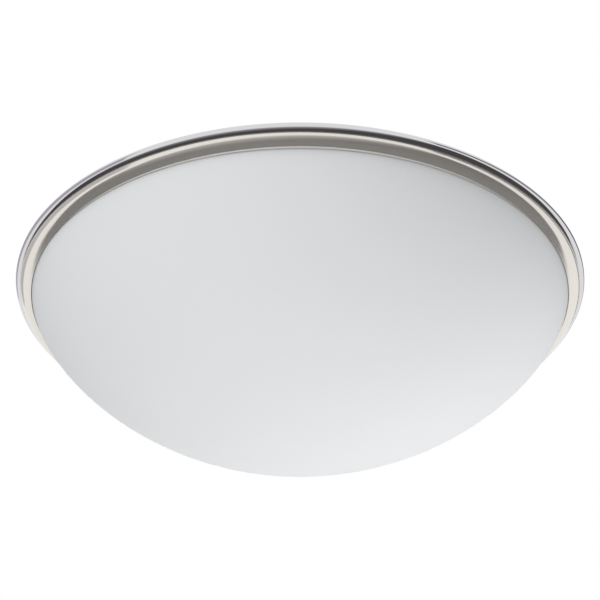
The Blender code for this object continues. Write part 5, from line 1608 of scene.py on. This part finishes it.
def make_board(name, corners):
    """Flat board of the stage, with a new material; returns both."""
    mesh = bpy.data.meshes.new(name)
    mesh.from_pydata([tuple(corner) for corner in corners], [], [tuple(range(len(corners)))])
    material = bpy.data.materials.new(name)
    material.use_nodes = True
    mesh.materials.append(material)
    board = link(name, mesh)
    return board, material.node_tree


def make_floor():
    """Plain pale floor a room's height below the ceiling."""
    corners = [(*point, FLOOR_HEIGHT) for point in disc(0, 0, FLOOR_RADIUS, steps=128)]
    shader = make_board("studio_floor", corners)[1].nodes["Principled BSDF"].inputs
    shader["Base Color"].default_value = (0.80, 0.79, 0.78, 1.0)
    shader["Roughness"].default_value = 0.9


def make_card(name, corners, near, far, start, reach):
    """Card that only shiny surfaces show; its shade fades from near to far towards the front left."""
    card, tree = make_board(name, corners)
    tree.nodes.remove(tree.nodes["Principled BSDF"])
    spot = add(tree, "ShaderNodeTexCoord").outputs["Object"]
    along = add(tree, "ShaderNodeVectorMath", {0: spot, 1: CARD_FADE_DIRECTION},
                operation="DOT_PRODUCT").outputs["Value"]
    depth = calculate(tree, "DIVIDE", calculate(tree, "ADD", along, start), reach)
    left = calculate(tree, "EXPONENT", calculate(tree, "MINIMUM", depth, 0.0))
    share = calculate(tree, "SUBTRACT", 1.0, left)
    shine = put(tree, "ShaderNodeEmission", {"Color": mixed(tree, share, (*near, 1.0), (*far, 1.0)),
                                             "Strength": 1.0})
    tree.links.new(shine, tree.nodes["Material Output"].inputs[0])
    for ray in ("camera", "diffuse", "transmission", "volume_scatter", "shadow"):
        setattr(card, "visible_" + ray, False)


def make_cards():
    """Reflections in the shiny ring: a dark floor with a sloping edge, and a flag at each side."""
    rim = []
    for (azimuth, drop), (following, next_drop) in zip(CARD_RIM, CARD_RIM[1:] + CARD_RIM[:1]):
        gap = (following - azimuth) % 360
        for share in [step / CARD_STEPS for step in range(CARD_STEPS)]:
            slope = math.radians(drop + (next_drop - drop) * share)
            rim.append(seen_at(azimuth + gap * share, 0, -FLOOR_HEIGHT / math.tan(slope)))
    floor = [(point.x, point.y, FLOOR_HEIGHT + CARD_LIFT) for point in rim]
    make_card("dark_floor_card", floor, (0.080, 0.076, 0.078), (0.95, 0.95, 0.95), start=1.2, reach=9.0)
    for name, first, last, low, high, shade_colour in FLAGS:
        turns = [first + (last - first) * step / FLAG_STEPS for step in range(FLAG_STEPS + 1)]
        corners = [seen_at(turn, low, FLAG_DISTANCE) for turn in turns]
        corners += [seen_at(turn, high, FLAG_DISTANCE) for turn in reversed(turns)]
        make_card(name, corners, shade_colour, shade_colour, start=0.0, reach=1.0)


def make_softboxes():
    """Large soft lamps that point at the light; shiny metal shows the white room instead of them."""
    for name, azimuth, elevation, power in SOFTBOXES:
        data = bpy.data.lights.new(name, "AREA")
        data.shape = "RECTANGLE"
        data.size = SOFTBOX_WIDTH
        data.size_y = SOFTBOX_WIDTH
        data.energy = power
        lamp = stand(name, data, SOFTBOX_AIM + seen_at(azimuth, elevation, SOFTBOX_DISTANCE), SOFTBOX_AIM)
        lamp.visible_camera = False
        lamp.visible_glossy = False


def make_room():
    """Even white room: seen as plain white, and a softer light on the object."""
    world = bpy.data.worlds.new("white_room")
    world.use_nodes = True
    bpy.context.scene.world = world
    tree = world.node_tree
    tree.nodes.clear()
    path = add(tree, "ShaderNodeLightPath").outputs
    seen = calculate(tree, "MAXIMUM", path["Is Camera Ray"], path["Is Glossy Ray"])
    seen = calculate(tree, "MAXIMUM", seen, path["Is Transmission Ray"])
    soft, white = [put(tree, "ShaderNodeBackground", {"Color": (1.0, 1.0, 1.0, 1.0), "Strength": strength})
                   for strength in (ROOM_LIGHT, 1.0)]
    mix = put(tree, "ShaderNodeMixShader", {0: seen, 1: soft, 2: white})
    add(tree, "ShaderNodeOutputWorld", {"Surface": mix})


def build():
    """Make the stage and the whole light."""
    bpy.context.scene.view_settings.view_transform = "Standard"
    for make in (make_camera, make_floor, make_cards, make_softboxes, make_room):
        make()
    finishes = {make.__name__: make() for make in FINISHES}
    for make in (make_trim_ring, make_bowl, make_gasket, make_back_pan, make_catches, make_rivets,
                 make_grommet):
        make(finishes)
    for number in (1, 2):
        for make in (make_bracket, make_holder, make_shell, make_tongue, make_contact, make_insulator,
                     make_cap, make_envelope):
            make(number, finishes)
    for make in (make_holder_screws, make_block, make_tubes, make_terminal_screws, make_block_screw,
                 make_washer, make_lug, make_earth_screw, make_leads):
        make(finishes)


build()
